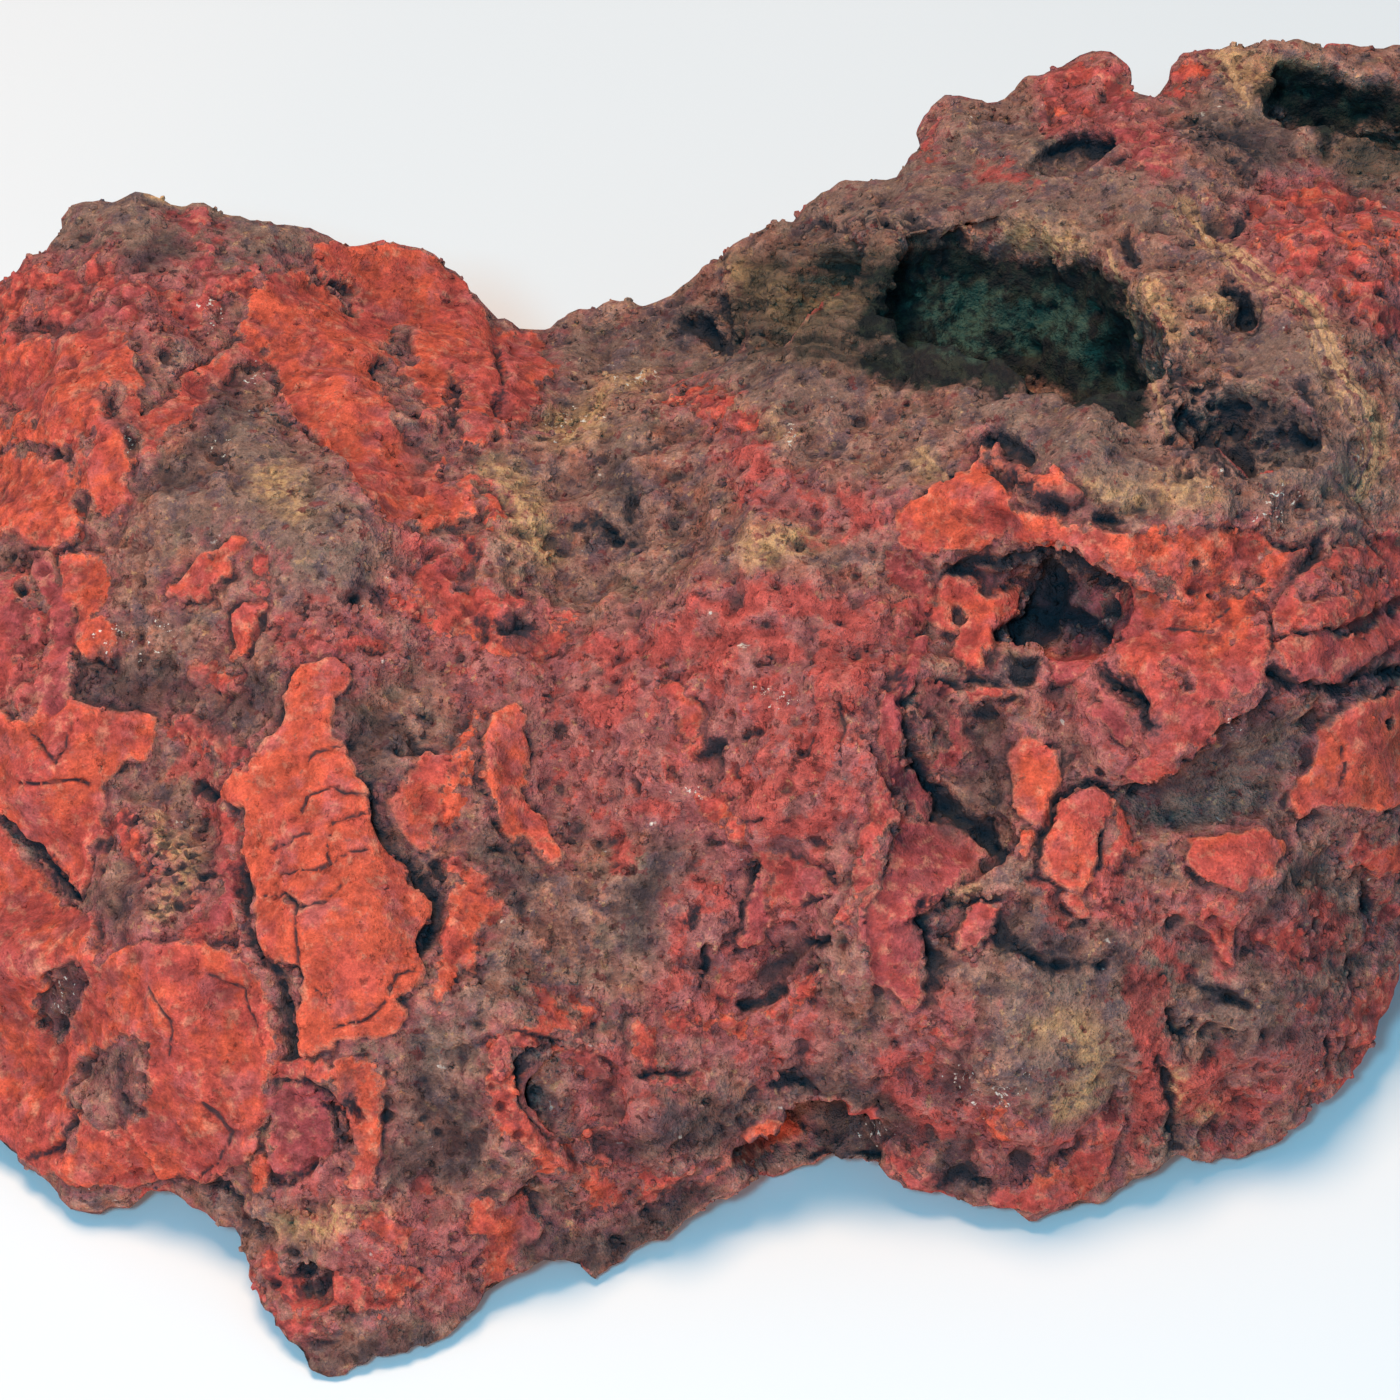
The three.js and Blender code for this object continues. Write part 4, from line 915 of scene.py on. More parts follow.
def soft_normals(mesh: bpy.types.Mesh, passes: int) -> Array:
    """Average each vertex's normal with its neighbours' a number of times.

    Args:
        mesh: Mesh to read.
        passes: How often to average.

    Returns:
        One unit vector per vertex.
    """
    ends = edge_ends(mesh)
    normals = vertex_array(mesh, "normal")
    for _ in range(passes):
        total = normals + neighbour_sums(ends, normals)
        normals = total / np.maximum(np.linalg.norm(total, axis=1, keepdims=True), TINY)
    return normals


@dataclass
class Stone:
    """The whole stone as one closed skin with its relief and the numbers that colour it.

    A range is a pair of numbers between which something is eased from none to all.
    """

    board: DrawingBoard = field(default_factory=DrawingBoard)
    voxel_mm: float = 0.55
    rounding_passes: int = 4
    weld_m: float = 1e-6
    triangle_budget: int = 192_000
    normal_passes: int = 5
    shown_range: Point = (-0.12, 0.2)
    ragged_mm: float = 1.1
    frayed_mm: float = 0.45
    crust_thickness_mm: float = 0.6
    void_mm: float = 1.5
    deepest_fill_mm: float = 16.0
    rim_pulls: int = 2
    rim_bin_mm: float = 1.0
    rim_reach_mm: float = 9.0
    rim_rough_mm: float = 0.45
    rim_furthest_mm: float = 6.0
    rim_soft_mm: Point = (1.0, 3.0)
    most_proud_mm: float = 1.6
    step_count: float = 1.9
    cavity_shade_passes: int = 14
    behind_range: Point = (0.1, 0.45)
    behind_passes: int = 12
    back_patch_mm: float = 26.0
    back_settling: float = 0.8
    back_passes: int = 40
    back_share: float = 0.12
    back_heave_mm: float = 1.3
    chamber_from_mm: Point = (36.0, 42.0)
    pockets_mm: tuple[Box, ...] = (((12, 2, 44), (58, 27, 72)), ((66, 48, 58), (100, 68, 72)))
    pocket_depth_mm: float = 4.0
    thin_range: Point = (-0.2, 0.3)
    thin_passes: int = 3
    thin_steps: int = 4

    def build(self, finish: "StoneFinish") -> bpy.types.Object:
        """Make the skin, sculpt it, thin it and dress it.

        Args:
            finish: The stone's material.

        Returns:
            The finished piece.
        """
        mesh = self._dense_copy()
        self._sculpt(mesh)
        piece = self._thinned(mesh)
        self._keep_in_box(piece.data)
        piece.data.materials.append(finish.material())
        for face in piece.data.polygons:
            face.use_smooth = True
        return piece

    def _dense_copy(self) -> bpy.types.Mesh:
        """Copy the solid, round its facets off and lay an even grid of small faces over it.

        Returns:
            The dense skin.
        """
        bm = bmesh.new()
        bm.from_mesh(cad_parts[NODE].data)
        bmesh.ops.remove_doubles(bm, verts=bm.verts, dist=self.weld_m)
        mesh = bpy.data.meshes.new("dense")
        bm.to_mesh(mesh)
        bm.free()
        carrier = new_object("dense", mesh)
        rounded = carrier.modifiers.new("rounded", "SUBSURF")
        rounded.levels = rounded.render_levels = 1
        even = carrier.modifiers.new("even", "REMESH")
        even.mode = "VOXEL"
        even.voxel_size = self.voxel_mm * MM
        soft = carrier.modifiers.new("soft", "SMOOTH")
        soft.factor = 0.5
        soft.iterations = self.rounding_passes
        return evaluated_mesh(carrier)

    def _sculpt(self, mesh: bpy.types.Mesh) -> None:
        """Work out every number on the dense skin and move its vertices by the relief.

        Args:
            mesh: The dense skin.
        """
        points = self._pull_rim(vertex_array(mesh, "co") / MM)
        for fill in FILLS:
            points = self._filled(points, vertex_array(mesh, "normal"), fill)
        place_vertices(mesh, points * MM)
        away = -self.board.facing(points, soft_normals(mesh, self.behind_passes))
        behind = smooth_step(*self.behind_range, away)
        points = settled(mesh, points, self.back_settling * behind, self.back_passes)
        place_vertices(mesh, points * MM)
        normals = soft_normals(mesh, self.normal_passes)
        shown = smooth_step(*self.shown_range, self.board.facing(points, normals))
        places = self.board.places(points)
        in_chamber = smooth_step(-2.0, 0.0, paint(places, CHAMBER)[0])
        in_chamber = in_chamber * smooth_step(*self.chamber_from_mm, points[:, 2])
        pocket = self._in_pockets(points) & (shown < 0.5)
        shown = np.maximum(shown, in_chamber)
        warp = np.stack([lumps(points, 4.0, 11, 3), lumps(points, 4.0, 12, 3)], axis=1)
        frayed = np.stack([lumps(points, 1.8, 13, 2), lumps(points, 1.8, 14, 2)], axis=1)
        ragged = places + self.ragged_mm * warp + self.frayed_mm * frayed
        fields = self._colour_fields(points, places, ragged, shown)
        relief = self._relief(points, places, ragged, shown, fields)
        fields[Field.HOLLOW] = relief
        # Pockets round the chambers' inner walls get the chambers' painted shade too.
        fields[Field.CHAMBER] = np.where(pocket, self.pocket_depth_mm, fields[Field.CHAMBER])
        moved = points + normals * relief[:, None]
        rim = 1.0 - smooth_step(*self.rim_soft_mm, np.abs(outline_measures(places)[0]))
        moved = settled(mesh, moved, 0.5 * rim, 2)
        # How deep each vertex sits in a hollow; the finish paints shade by it.
        evened = settled(mesh, moved, np.full(len(moved), 0.6), self.cavity_shade_passes)
        fields[Field.CAVITY_SHADE] = np.einsum("ij,ij->i", evened - moved, normals)
        for name, values in fields.items():
            layer = mesh.attributes.new(name.value, "FLOAT", "POINT")
            layer.data.foreach_set("value", values.astype(np.float32))
        place_vertices(mesh, moved * MM)

    def _in_pockets(self, points: Array) -> Array:
        """Tell which points lie in the boxes round the chambers' inner walls."""
        inside = [np.all((points > low) & (points < high), axis=1) for low, high in self.pockets_mm]
        return np.any(inside, axis=0)

    def _pull_rim(self, points: Array) -> Array:
        """Move the rim, which rounding has drawn in, back out to the outline.

        Args:
            points: Vertices in millimetres.

        Returns:
            The moved vertices.
        """
        for _ in range(self.rim_pulls):
            points = self._pulled_once(points)
        return points

    def _pulled_once(self, points: Array) -> Array:
        """Move the rim as far out as it is short of the outline, and give it a fine raggedness.

        Args:
            points: Vertices in millimetres.

        Returns:
            The moved vertices.
        """
        away, along, inward = outline_measures(self.board.places(points))
        bins = np.floor(along / self.rim_bin_mm).astype(int)
        short = np.full(bins.max() + 1, np.inf)
        np.minimum.at(short, bins, away)
        known = np.flatnonzero(np.isfinite(short) & (short < self.rim_furthest_mm))
        gap = np.interp(along / self.rim_bin_mm - 0.5, known, short[known])
        gap += self.rim_rough_mm * lumps(along[:, None] * np.array([1.0, 0.0, 0.0]), 3.2, 51, 3)
        fade = 1.0 - smooth_step(0.0, self.rim_reach_mm, away - gap)
        step = -inward * (gap * fade)[:, None]
        depth = ((points - self.board.eye_mm) @ -self.board.out) / self.board.eye_distance_mm
        moved = points + (depth * step[:, 1])[:, None] * self.board.up
        moved[:, 0] += depth * step[:, 0]
        return moved

    def _filled(self, points: Array, normals: Array, fill: Fill) -> Array:
        """Raise a hollow's floor towards the plane through its brim.

        Args:
            points: Vertices in millimetres.
            normals: Their outward unit vectors.
            fill: The hollow.

        Returns:
            The moved vertices.
        """
        offset = self.board.places(points) - np.array(fill.place)
        away = np.hypot(*offset.T) / fill.radius
        height = points @ self.board.out
        brim = (away > 1.0) & (away < 1.3) & (self.board.facing(points, normals) > 0.2)
        terms = np.column_stack([offset, np.ones(len(points))])
        plane = np.linalg.lstsq(terms[brim], height[brim], rcond=None)[0]
        depth = terms @ plane - height
        depth = np.where((depth > 0.0) & (depth < self.deepest_fill_mm), depth, 0.0)
        to_eye = self.board.eye_mm - points
        to_eye /= np.linalg.norm(to_eye, axis=1, keepdims=True)
        return points + to_eye * (fill.share * depth * (1.0 - smooth_step(0.8, 1.15, away)))[:, None]

    def _colour_fields(self, points: Array, places: Array, ragged: Array, shown: Array) -> Fields:
        """Paint the show face and let noise colour what is hidden from it.

        Args:
            points: Vertices in millimetres.
            places: Where they appear on the board.
            ragged: The same with ragged edges.
            shown: 1 where the show face is, 0 behind it.

        Returns:
            One array per field.
        """
        hidden = 1.0 - shown

        def faced(depth: Array, behind: Array | float = FIELD_LOW, most: float = FIELD_HIGH) -> Array:
            """A depth on the show face and another behind it, held in a field's range."""
            return np.clip(shown * np.maximum(depth, FIELD_LOW) + hidden * behind, FIELD_LOW, most)

        def laid(shapes: Iterable[Shape], size: float, seed: int, lean: float) -> Array:
            """Depth in the shapes on the show face, and noise with a lean towards none behind it."""
            return faced(paint(ragged, shapes)[0], 7.0 * lumps(points, size, seed, 3) + lean)

        crust, tone, rough = paint(ragged, CRUST)
        crust = np.minimum(crust, np.maximum(-paint(ragged, BARE)[0], -1.4))
        wild = 9.0 * lumps(points, self.back_patch_mm, 21, 4) - 2.2
        crust = shown * crust + hidden * np.clip(wild, FIELD_FLOOR, 4.0)
        tone = shown * tone + hidden * (0.5 + 0.5 * lumps(points, 20.0, 22, 2))
        inside, at = self._laminae(places)
        crack = self._crack_distance(ragged * 0.35 + places * 0.65)
        half_ragged = 0.5 * (places + ragged)
        slab = smooth_step(-2.0, 3.0, paint(ragged, SLAB)[0]) * shown
        u, v = places.T
        leaning = np.stack([0.86 * u - 0.5 * v, 0.26 * (0.5 * u + 0.86 * v), 0.3 * points[:, 2]], axis=1)
        fields = {
            Field.CRUST: crust,
            Field.TONE: np.clip(tone + 0.22 * lumps(points, 9.0, 26, 2), 0.0, 1.0),
            Field.ROUGH: shown * rough + hidden,
            Field.FLUSH: laid(FLUSH, 17.0, 23, -0.5),
            Field.OCHRE: laid(OCHRE, 9.0, 24, -4.0),
            Field.DARK: laid(DARK, 8.0, 25, -3.0),
            Field.GREY: laid(GREY, 19.0, 27, 0.5),
            Field.SPONGE: laid(SPONGE, 14.0, 28, -4.5),
            Field.CHAMBER: faced(paint(half_ragged, CHAMBER)[0]),
            Field.SLOPE: faced(paint(ragged, SLOPE)[0]),
            Field.LAMINA_IN: faced(inside, most=FINE_FIELD_HIGH),
            Field.LAMINA_AT: at,
            Field.CRACK: np.clip(shown * crack + CRACK_REACH * hidden, 0.0, CRACK_REACH),
            Field.STREAK: slab * lumps(leaning, 2.4, 29, 3),
            Field.STAIN: laid(STAIN, 10.0, 41, -3.5),
            Field.CRYSTAL: laid(CRYSTALS, 6.0, 52, -8.0),
            Field.VOID: faced(paint(half_ragged, VOIDS)[0], most=FINE_FIELD_HIGH),
            Field.BANDS: v + 0.06 * u + 0.5 * lumps(points, 7.0, 42, 2),
        }
        bare = 1.0 - smooth_step(-0.2, 0.8, crust)
        crumbly = 0.35 + 0.65 * smooth_step(-0.3, 0.6, lumps(points, 9.0, 30, 2))
        calm = smooth_step(0.0, 1.5, fields[Field.GREY])
        lifted = smooth_step(2.0, 5.0, points[:, 2])
        open_air = 1.0 - smooth_step(0.0, 1.5, fields[Field.CHAMBER])
        fields[Field.CRUMBS] = (bare + 0.12) * crumbly * (1.0 - 0.75 * calm) * lifted * open_air
        return fields

    def _laminae(self, places: Array) -> tuple[Array, Array]:
        """Find the nearest band of seams.

        Args:
            places: One (u, v) per row.

        Returns:
            The depth inside that band, and the place across it, in millimetres.
        """
        inside = np.full(len(places), FIELD_LOW)
        at = np.zeros(len(places))
        for lamina in LAMINAE:
            away, signed, _ = line_distances(places, lamina.line)
            depth = lamina.half_width - away
            deeper = depth > inside
            inside = np.where(deeper, depth, inside)
            at = np.where(deeper, signed, at)
        return inside, at

    def _crack_distance(self, places: Array) -> Array:
        """Measure the distance to the nearest crack.

        Args:
            places: One (u, v) per row.

        Returns:
            Millimetres, at most CRACK_REACH.
        """
        best = np.full(len(places), CRACK_REACH)
        for crack in CRACKS:
            best = np.minimum(best, line_distances(places, crack.line)[0])
        return best

    def _relief(self, points: Array, places: Array, ragged: Array, shown: Array, fields: Fields) -> Array:
        """Work out how far every vertex moves outwards.

        Args:
            points: Vertices in millimetres.
            places: Where they appear on the board.
            ragged: The same with ragged edges.
            shown: 1 where the show face is, 0 behind it.
            fields: The colour fields.

        Returns:
            Millimetres outwards, one per vertex.
        """
        crust = fields[Field.CRUST]
        on_crust = smooth_step(-0.16, 0.16, crust)
        calm = smooth_step(0.0, 4.0, fields[Field.GREY])
        relief = 0.8 * (1.0 - 0.5 * calm) * lumps(points, 6.0, 31, 2)
        relief += on_crust * self._crust_form(points, crust, fields[Field.ROUGH])
        bare = 1.0 - on_crust * (1.0 - 0.5 * np.clip(fields[Field.ROUGH], 0.0, 1.0))
        relief += bare * (1.0 - 0.8 * calm) * self._rock_form(points)
        rim_dip = 0.15 + 0.35 * smooth_step(-0.1, 0.5, lumps(points, 6.0, 53, 1))
        relief -= rim_dip * np.exp(-(((crust + 0.4) / 0.4) ** 2)) * (1.0 - on_crust)
        sponge = smooth_step(-0.3, 0.8, fields[Field.SPONGE])
        holes, chance = cells(points, 1.7, 55)
        relief -= sponge * 0.65 * (1.0 - smooth_step(0.14 + 0.2 * chance, 0.36 + 0.2 * chance, holes))
        seams = smooth_step(-0.2, 0.6, fields[Field.LAMINA_IN])
        relief -= 0.15 * np.cos(fields[Field.LAMINA_AT] * 5.2) * seams
        relief += 0.45 * fields[Field.STREAK]
        uneven = fields[Field.VOID] + 0.7 * lumps(points, 2.2, 50, 2)
        relief -= self.void_mm * np.clip(uneven + 0.25, 0.0, 1.6)
        layered = 0.25 * np.sin(fields[Field.BANDS] * 3.4) + 0.2 * np.sin(fields[Field.BANDS] * 1.9)
        relief += layered * smooth_step(-0.5, 1.0, fields[Field.SLOPE])
        relief += shown * self._drawn_relief(places, ragged)
        relief += (1.0 - shown) * self.back_heave_mm * lumps(points, 13.0, 56, 2)
        foot = smooth_step(0.2, 3.0, points[:, 2])
        return relief * (0.25 + 0.75 * foot)

    def _crust_form(self, points: Array, crust: Array, rough: Array) -> Array:
        """Shape the crust: its thickness, its curled edge and its knobbly top.

        Args:
            points: Vertices in millimetres.
            crust: Depth inside the crust's edge.
            rough: How knobbly it is, from 0 to 1.

        Returns:
            Millimetres outwards.
        """
        knobs, _ = cells(points, 3.6, 40)
        small_knobs, _ = cells(points, 1.9, 45)
        creases = np.exp(-((lumps(points, 5.0, 48, 3) / 0.13) ** 2))
        knobbly = 0.85 * (0.5 - knobs) + 0.5 * (0.5 - small_knobs) - 0.5 * creases
        flat = 1.0 - np.clip(rough, 0.0, 0.8)
        thickness = self.crust_thickness_mm * flat * (1.0 + 0.35 * lumps(points, 8.0, 36))
        curl = 0.12 * flat * np.exp(-(((crust - 0.6) / 0.5) ** 2))
        smooth = 0.3 * lumps(points, 7.0, 35, 2) + 0.2 * lumps(points, 2.4, 34, 3)
        return thickness + curl + smooth + np.clip(rough, 0.15, 1.0) * knobbly

    def _rock_form(self, points: Array) -> Array:
        """Shape the bare rock: rough and gritty, in small steps, with pits and hollows.

        Args:
            points: Vertices in millimetres.

        Returns:
            Millimetres outwards.
        """
        rough = 0.34 * lumps(points, 2.6, 32, 3)
        folds = 0.3 * (0.45 - np.abs(lumps(points, 4.2, 33, 2)))
        steps = self.step_count * lumps(points, 5.0, 43, 4)
        level = np.floor(steps)
        terraces = 0.4 * (level + smooth_step(0.7, 1.0, steps - level))
        grains, chance = cells(points, 1.4, 47)
        gritty = 0.4 * chance * (0.6 - grains)
        chips, chance = cells(points, 3.6, 49)
        gritty += 0.2 * chance * (0.55 - chips)
        pits = 0.8 * smooth_step(0.45, 0.95, lumps(points, 2.2, 37, 2))
        hollows = smooth_step(0.5, 1.0, lumps(points, 7.5, 38, 2))
        return rough + folds + terraces + gritty - pits - hollows

    def _drawn_relief(self, places: Array, ragged: Array) -> Array:
        """Shape the ledges, cracks and pits that have a place of their own on the show face.

        Args:
            places: One (u, v) per row.
            ragged: The same with ragged edges.

        Returns:
            Millimetres outwards.
        """
        line_places = 0.5 * places + 0.5 * ragged
        relief = np.zeros(len(places))
        for ledge in LEDGES:
            _, signed, _ = line_distances(line_places, ledge.line)
            side = smooth_step(-0.25, 0.25, signed)
            relief += ledge.height * (side - 0.35) * np.exp(-((np.abs(signed) / ledge.run) ** 2))
        cut = np.zeros(len(places))
        for crack in CRACKS:
            away, _, _ = line_distances(line_places, crack.line)
            cut = np.maximum(cut, 0.7 * crack.depth * (1.0 - smooth_step(0.0, 0.5, away)))
        for pit in PITS:
            away = np.hypot(*(line_places - np.array(pit.place)).T)
            dip = pit.depth * (1.0 - smooth_step(0.35, 1.25, away / pit.radius))
            cut = np.maximum(cut, dip) if pit.depth > 0.0 else cut + dip
        return relief - cut

    def _thinned(self, mesh: bpy.types.Mesh) -> bpy.types.Object:
        """Spend the triangle budget mostly on the show face and on edges.

        Args:
            mesh: The dense, sculpted skin.

        Returns:
            The piece, as triangles.
        """
        carrier = new_object("sculpted", mesh)
        points = vertex_array(mesh, "co") / MM
        facing = self.board.facing(points, soft_normals(mesh, self.thin_passes))
        shown = smooth_step(*self.thin_range, facing)
        group = carrier.vertex_groups.new(name="may_thin")
        steps = np.round((1.0 - shown) * self.thin_steps).astype(int)
        for step in range(1, self.thin_steps + 1):
            group.add(np.flatnonzero(steps == step).tolist(), step / self.thin_steps, "REPLACE")
        triangles = triangle_count(carrier.data)
        spared = triangles * float(np.mean(1.0 - shown)) * (1.0 - self.back_share)
        for name, goal, where in (("thin behind", triangles - spared, group.name),
                                  ("thin all over", self.triangle_budget, "")):
            triangles = triangle_count(carrier.data)
            log.info("stone skin: %d triangles before it is made to %s", triangles, name)
            thin = carrier.modifiers.new(name, "DECIMATE")
            thin.ratio = min(1.0, goal / triangles)
            thin.use_collapse_triangulate = True
            thin.vertex_group = where
            thin.vertex_group_factor = 1.0
            carrier = new_object("stone", evaluated_mesh(carrier))
        return carrier

    def _keep_in_box(self, mesh: bpy.types.Mesh) -> None:
        """Hold every vertex within the solid's box and a little more, and above the floor.

        Args:
            mesh: The thinned skin.
        """
        low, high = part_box(NODE)
        spare = self.most_proud_mm * MM
        held = np.clip(vertex_array(mesh, "co"), np.array(low) - spare, np.array(high) + spare)
        held[:, 2] = np.maximum(held[:, 2], 0.0)
        place_vertices(mesh, held)


# ----------------------------------------------
# Node trees
# ----------------------------------------------


class Graph:
    """A thin wrapper that adds, sets and links nodes of one tree, and knows the place its noises read."""

    def __init__(self, tree: bpy.types.NodeTree) -> None:
        """Wrap a shader or geometry tree."""
        self.tree = tree
        self.where: Socket | None = None

    def add(self, kind: str, inputs: dict[str | int, object] | None = None, **settings: object) -> Node:
        """Add a node, set its properties and feed its sockets.

        Args:
            kind: The node's type.
            inputs: What each socket gets, by the socket's name or number.
            settings: The node's properties.

        Returns:
            The node.
        """
        node = self.tree.nodes.new(kind)
        for name, value in settings.items():
            setattr(node, name, value)
        for key, value in (inputs or {}).items():
            self.feed(node.inputs[key], value)
        return node

    def feed(self, socket: Socket, value: object) -> None:
        """Link a socket to another, or set its value.

        Args:
            socket: The socket that is fed.
            value: An output of another node, or a plain value.
        """
        if isinstance(value, bpy.types.NodeSocket):
            self.tree.links.new(value, socket)
        else:
            socket.default_value = value

    def math(self, operation: str, a: object, b: object = 0.0, clamp: bool = False) -> Socket:
        """Combine two numbers."""
        return self.add("ShaderNodeMath", {0: a, 1: b}, operation=operation, use_clamp=clamp).outputs[0]

    def plus(self, a: object, b: object) -> Socket:
        """Add two numbers."""
        return self.math("ADD", a, b)

    def times(self, a: object, b: object) -> Socket:
        """Multiply two numbers."""
        return self.math("MULTIPLY", a, b)

    def vector(self, operation: str, a: object, b: object) -> Socket:
        """Combine two vectors."""
        return self.add("ShaderNodeVectorMath", {0: a, 1: b}, operation=operation).outputs[0]

    def scaled(self, where: object, factor: object) -> Socket:
        """Scale a vector."""
        return self.add("ShaderNodeVectorMath", {0: where, "Scale": factor}, operation="SCALE").outputs[0]

    def ease(self, value: object, low: float, high: float, least: float = 0.0, most: float = 1.0) -> Socket:
        """Ease a number from one range to another."""
        inputs = {"Value": value, "From Min": low, "From Max": high, "To Min": least, "To Max": most}
        return self.add("ShaderNodeMapRange", inputs, interpolation_type="SMOOTHSTEP").outputs["Result"]

    def mix(self, share: object, a: object, b: object, blend: str = "MIX") -> Socket:
        """Mix two colours.

        Args:
            share: How much of the second colour there is.
            a: The first colour.
            b: The second colour.
            blend: How they are mixed.

        Returns:
            The mixed colour.
        """
        a, b = (colour if isinstance(colour, bpy.types.NodeSocket) else (*colour, 1.0) for colour in (a, b))
        inputs = {"Factor": share, 6: a, 7: b}
        return self.add("ShaderNodeMix", inputs, data_type="RGBA", blend_type=blend).outputs[2]

    def noise(self, size_mm: float, detail: float = 3.0, roughness: float = 0.6,
              shift: float = 0.0) -> Socket:
        """Make cloudy noise from 0 to 1.

        Args:
            size_mm: The size of its blobs.
            detail: How many finer sizes are in it.
            roughness: How strong those are.
            shift: Picks another pattern.

        Returns:
            The noise.
        """
        where = self.where
        if shift:
            where = self.vector("ADD", where, (shift * 37.0, shift * 53.0, shift * 71.0))
        inputs = {"Vector": where, "Scale": 1.0 / size_mm, "Detail": detail, "Roughness": roughness}
        return self.add("ShaderNodeTexNoise", inputs).outputs["Fac"]

    def attribute(self, name: Field) -> Socket:
        """One of the stone's own numbers."""
        return self.add("ShaderNodeAttribute", attribute_name=name.value).outputs["Fac"]

    def millimetres(self) -> Socket:
        """The place on the object, in millimetres."""
        return self.scaled(self.add("ShaderNodeTexCoord").outputs["Object"], 1.0 / MM)


class NodeGroup:
    """A shader node group with named inputs and outputs, built once."""

    def __init__(self, name: str, inputs: dict[str, float | None], outputs: Iterable[str]) -> None:
        """Make the group's shell.

        Args:
            name: The group's name.
            inputs: Each input's default by its name; the one without a default is a vector.
            outputs: The names of the outputs, which are numbers.
        """
        self.tree = bpy.data.node_groups.new(name, "ShaderNodeTree")
        sockets = self.tree.interface
        for label, default in inputs.items():
            kind = "NodeSocketVector" if default is None else "NodeSocketFloat"
            socket = sockets.new_socket(label, in_out="INPUT", socket_type=kind)
            if default is not None:
                socket.default_value = default
        for label in outputs:
            sockets.new_socket(label, in_out="OUTPUT", socket_type="NodeSocketFloat")
        self.graph = Graph(self.tree)
        self.source = self.graph.add("NodeGroupInput").outputs
        self.sink = self.graph.add("NodeGroupOutput").inputs
        self.graph.where = self.source["Where"]

    def place(self, graph: Graph, **values: object) -> Sockets:
        """Put the group in a material and feed its inputs by name."""
        return graph.add("ShaderNodeGroup", {"Where": graph.where, **values}, node_tree=self.tree).outputs


@dataclass
class Effects:
    """The effects that the stone's finish uses again and again."""

    ragged: NodeGroup = field(init=False)
    grain: NodeGroup = field(init=False)
    flecks: NodeGroup = field(init=False)

    def __post_init__(self) -> None:
        """Build every group once."""
        self.ragged = self._ragged()
        self.grain = self._grain()
        self.flecks = self._flecks()

    def _ragged(self) -> NodeGroup:
        """Make a depth ragged in two sizes, with the mask of where it is above 0.

        Returns:
            The group.
        """
        inputs = {"Where": None, "Depth": 0.0, "Coarse": 0.6, "Fine": 0.6, "Softness": 0.15, "Most": 1.8}
        group = NodeGroup("ragged edge", inputs, ("Mask", "Depth"))
        g, source = group.graph, group.source
        coarse = g.times(g.math("SUBTRACT", g.noise(2.6, 3.0, 0.6), 0.5), source["Coarse"])
        fine = g.times(g.math("SUBTRACT", g.noise(0.8, 4.0, 0.65), 0.5), source["Fine"])
        depth = g.plus(g.math("MINIMUM", source["Depth"], source["Most"]), g.plus(coarse, fine))
        share = g.math("DIVIDE", depth, source["Softness"])
        g.feed(group.sink["Mask"], g.math("ADD", g.times(share, 0.5), 0.5, clamp=True))
        g.feed(group.sink["Depth"], depth)
        return group

    def _grain(self) -> NodeGroup:
        """Make the heights and shades of a powdery, finely pitted surface.

        Returns:
            The group.
        """
        group = NodeGroup("powdery grain", {"Where": None}, ("Coarse", "Fine", "Pits"))
        g = group.graph
        g.feed(group.sink["Coarse"], g.noise(1.35, 4.0, 0.62, 1.0))
        g.feed(group.sink["Fine"], g.noise(0.32, 2.0, 0.6, 2.0))
        g.feed(group.sink["Pits"], g.ease(g.noise(1.7, 5.0, 0.72, 3.0), 0.30, 0.42, 1.0, 0.0))
        return group

    def _flecks(self) -> NodeGroup:
        """Make irregular flecks: a mask over the peaks of a noise.

        Returns:
            The group.
        """
        group = NodeGroup("flecks", {"Where": None, "Pitch": 1.0, "Level": 0.62}, ("Mask",))
        g, source = group.graph, group.source
        g.where = g.vector("DIVIDE", source["Where"], source["Pitch"])
        over = g.math("SUBTRACT", g.noise(1.0, 3.0, 0.6), source["Level"])
        g.feed(group.sink["Mask"], g.math("MULTIPLY", over, 22.0, clamp=True))
        return group


def new_material(name: str) -> tuple[bpy.types.Material, Graph, Node]:
    """Make an empty material with a Principled shader.

    Args:
        name: The material's name.

    Returns:
        The material, its graph and its shader node.
    """
    material = bpy.data.materials.new(name)
    material.use_nodes = True
    graph = Graph(material.node_tree)
    material.node_tree.nodes.clear()
    shader = graph.add("ShaderNodeBsdfPrincipled")
    graph.add("ShaderNodeOutputMaterial", {"Surface": shader.outputs[0]})
    return material, graph, shader


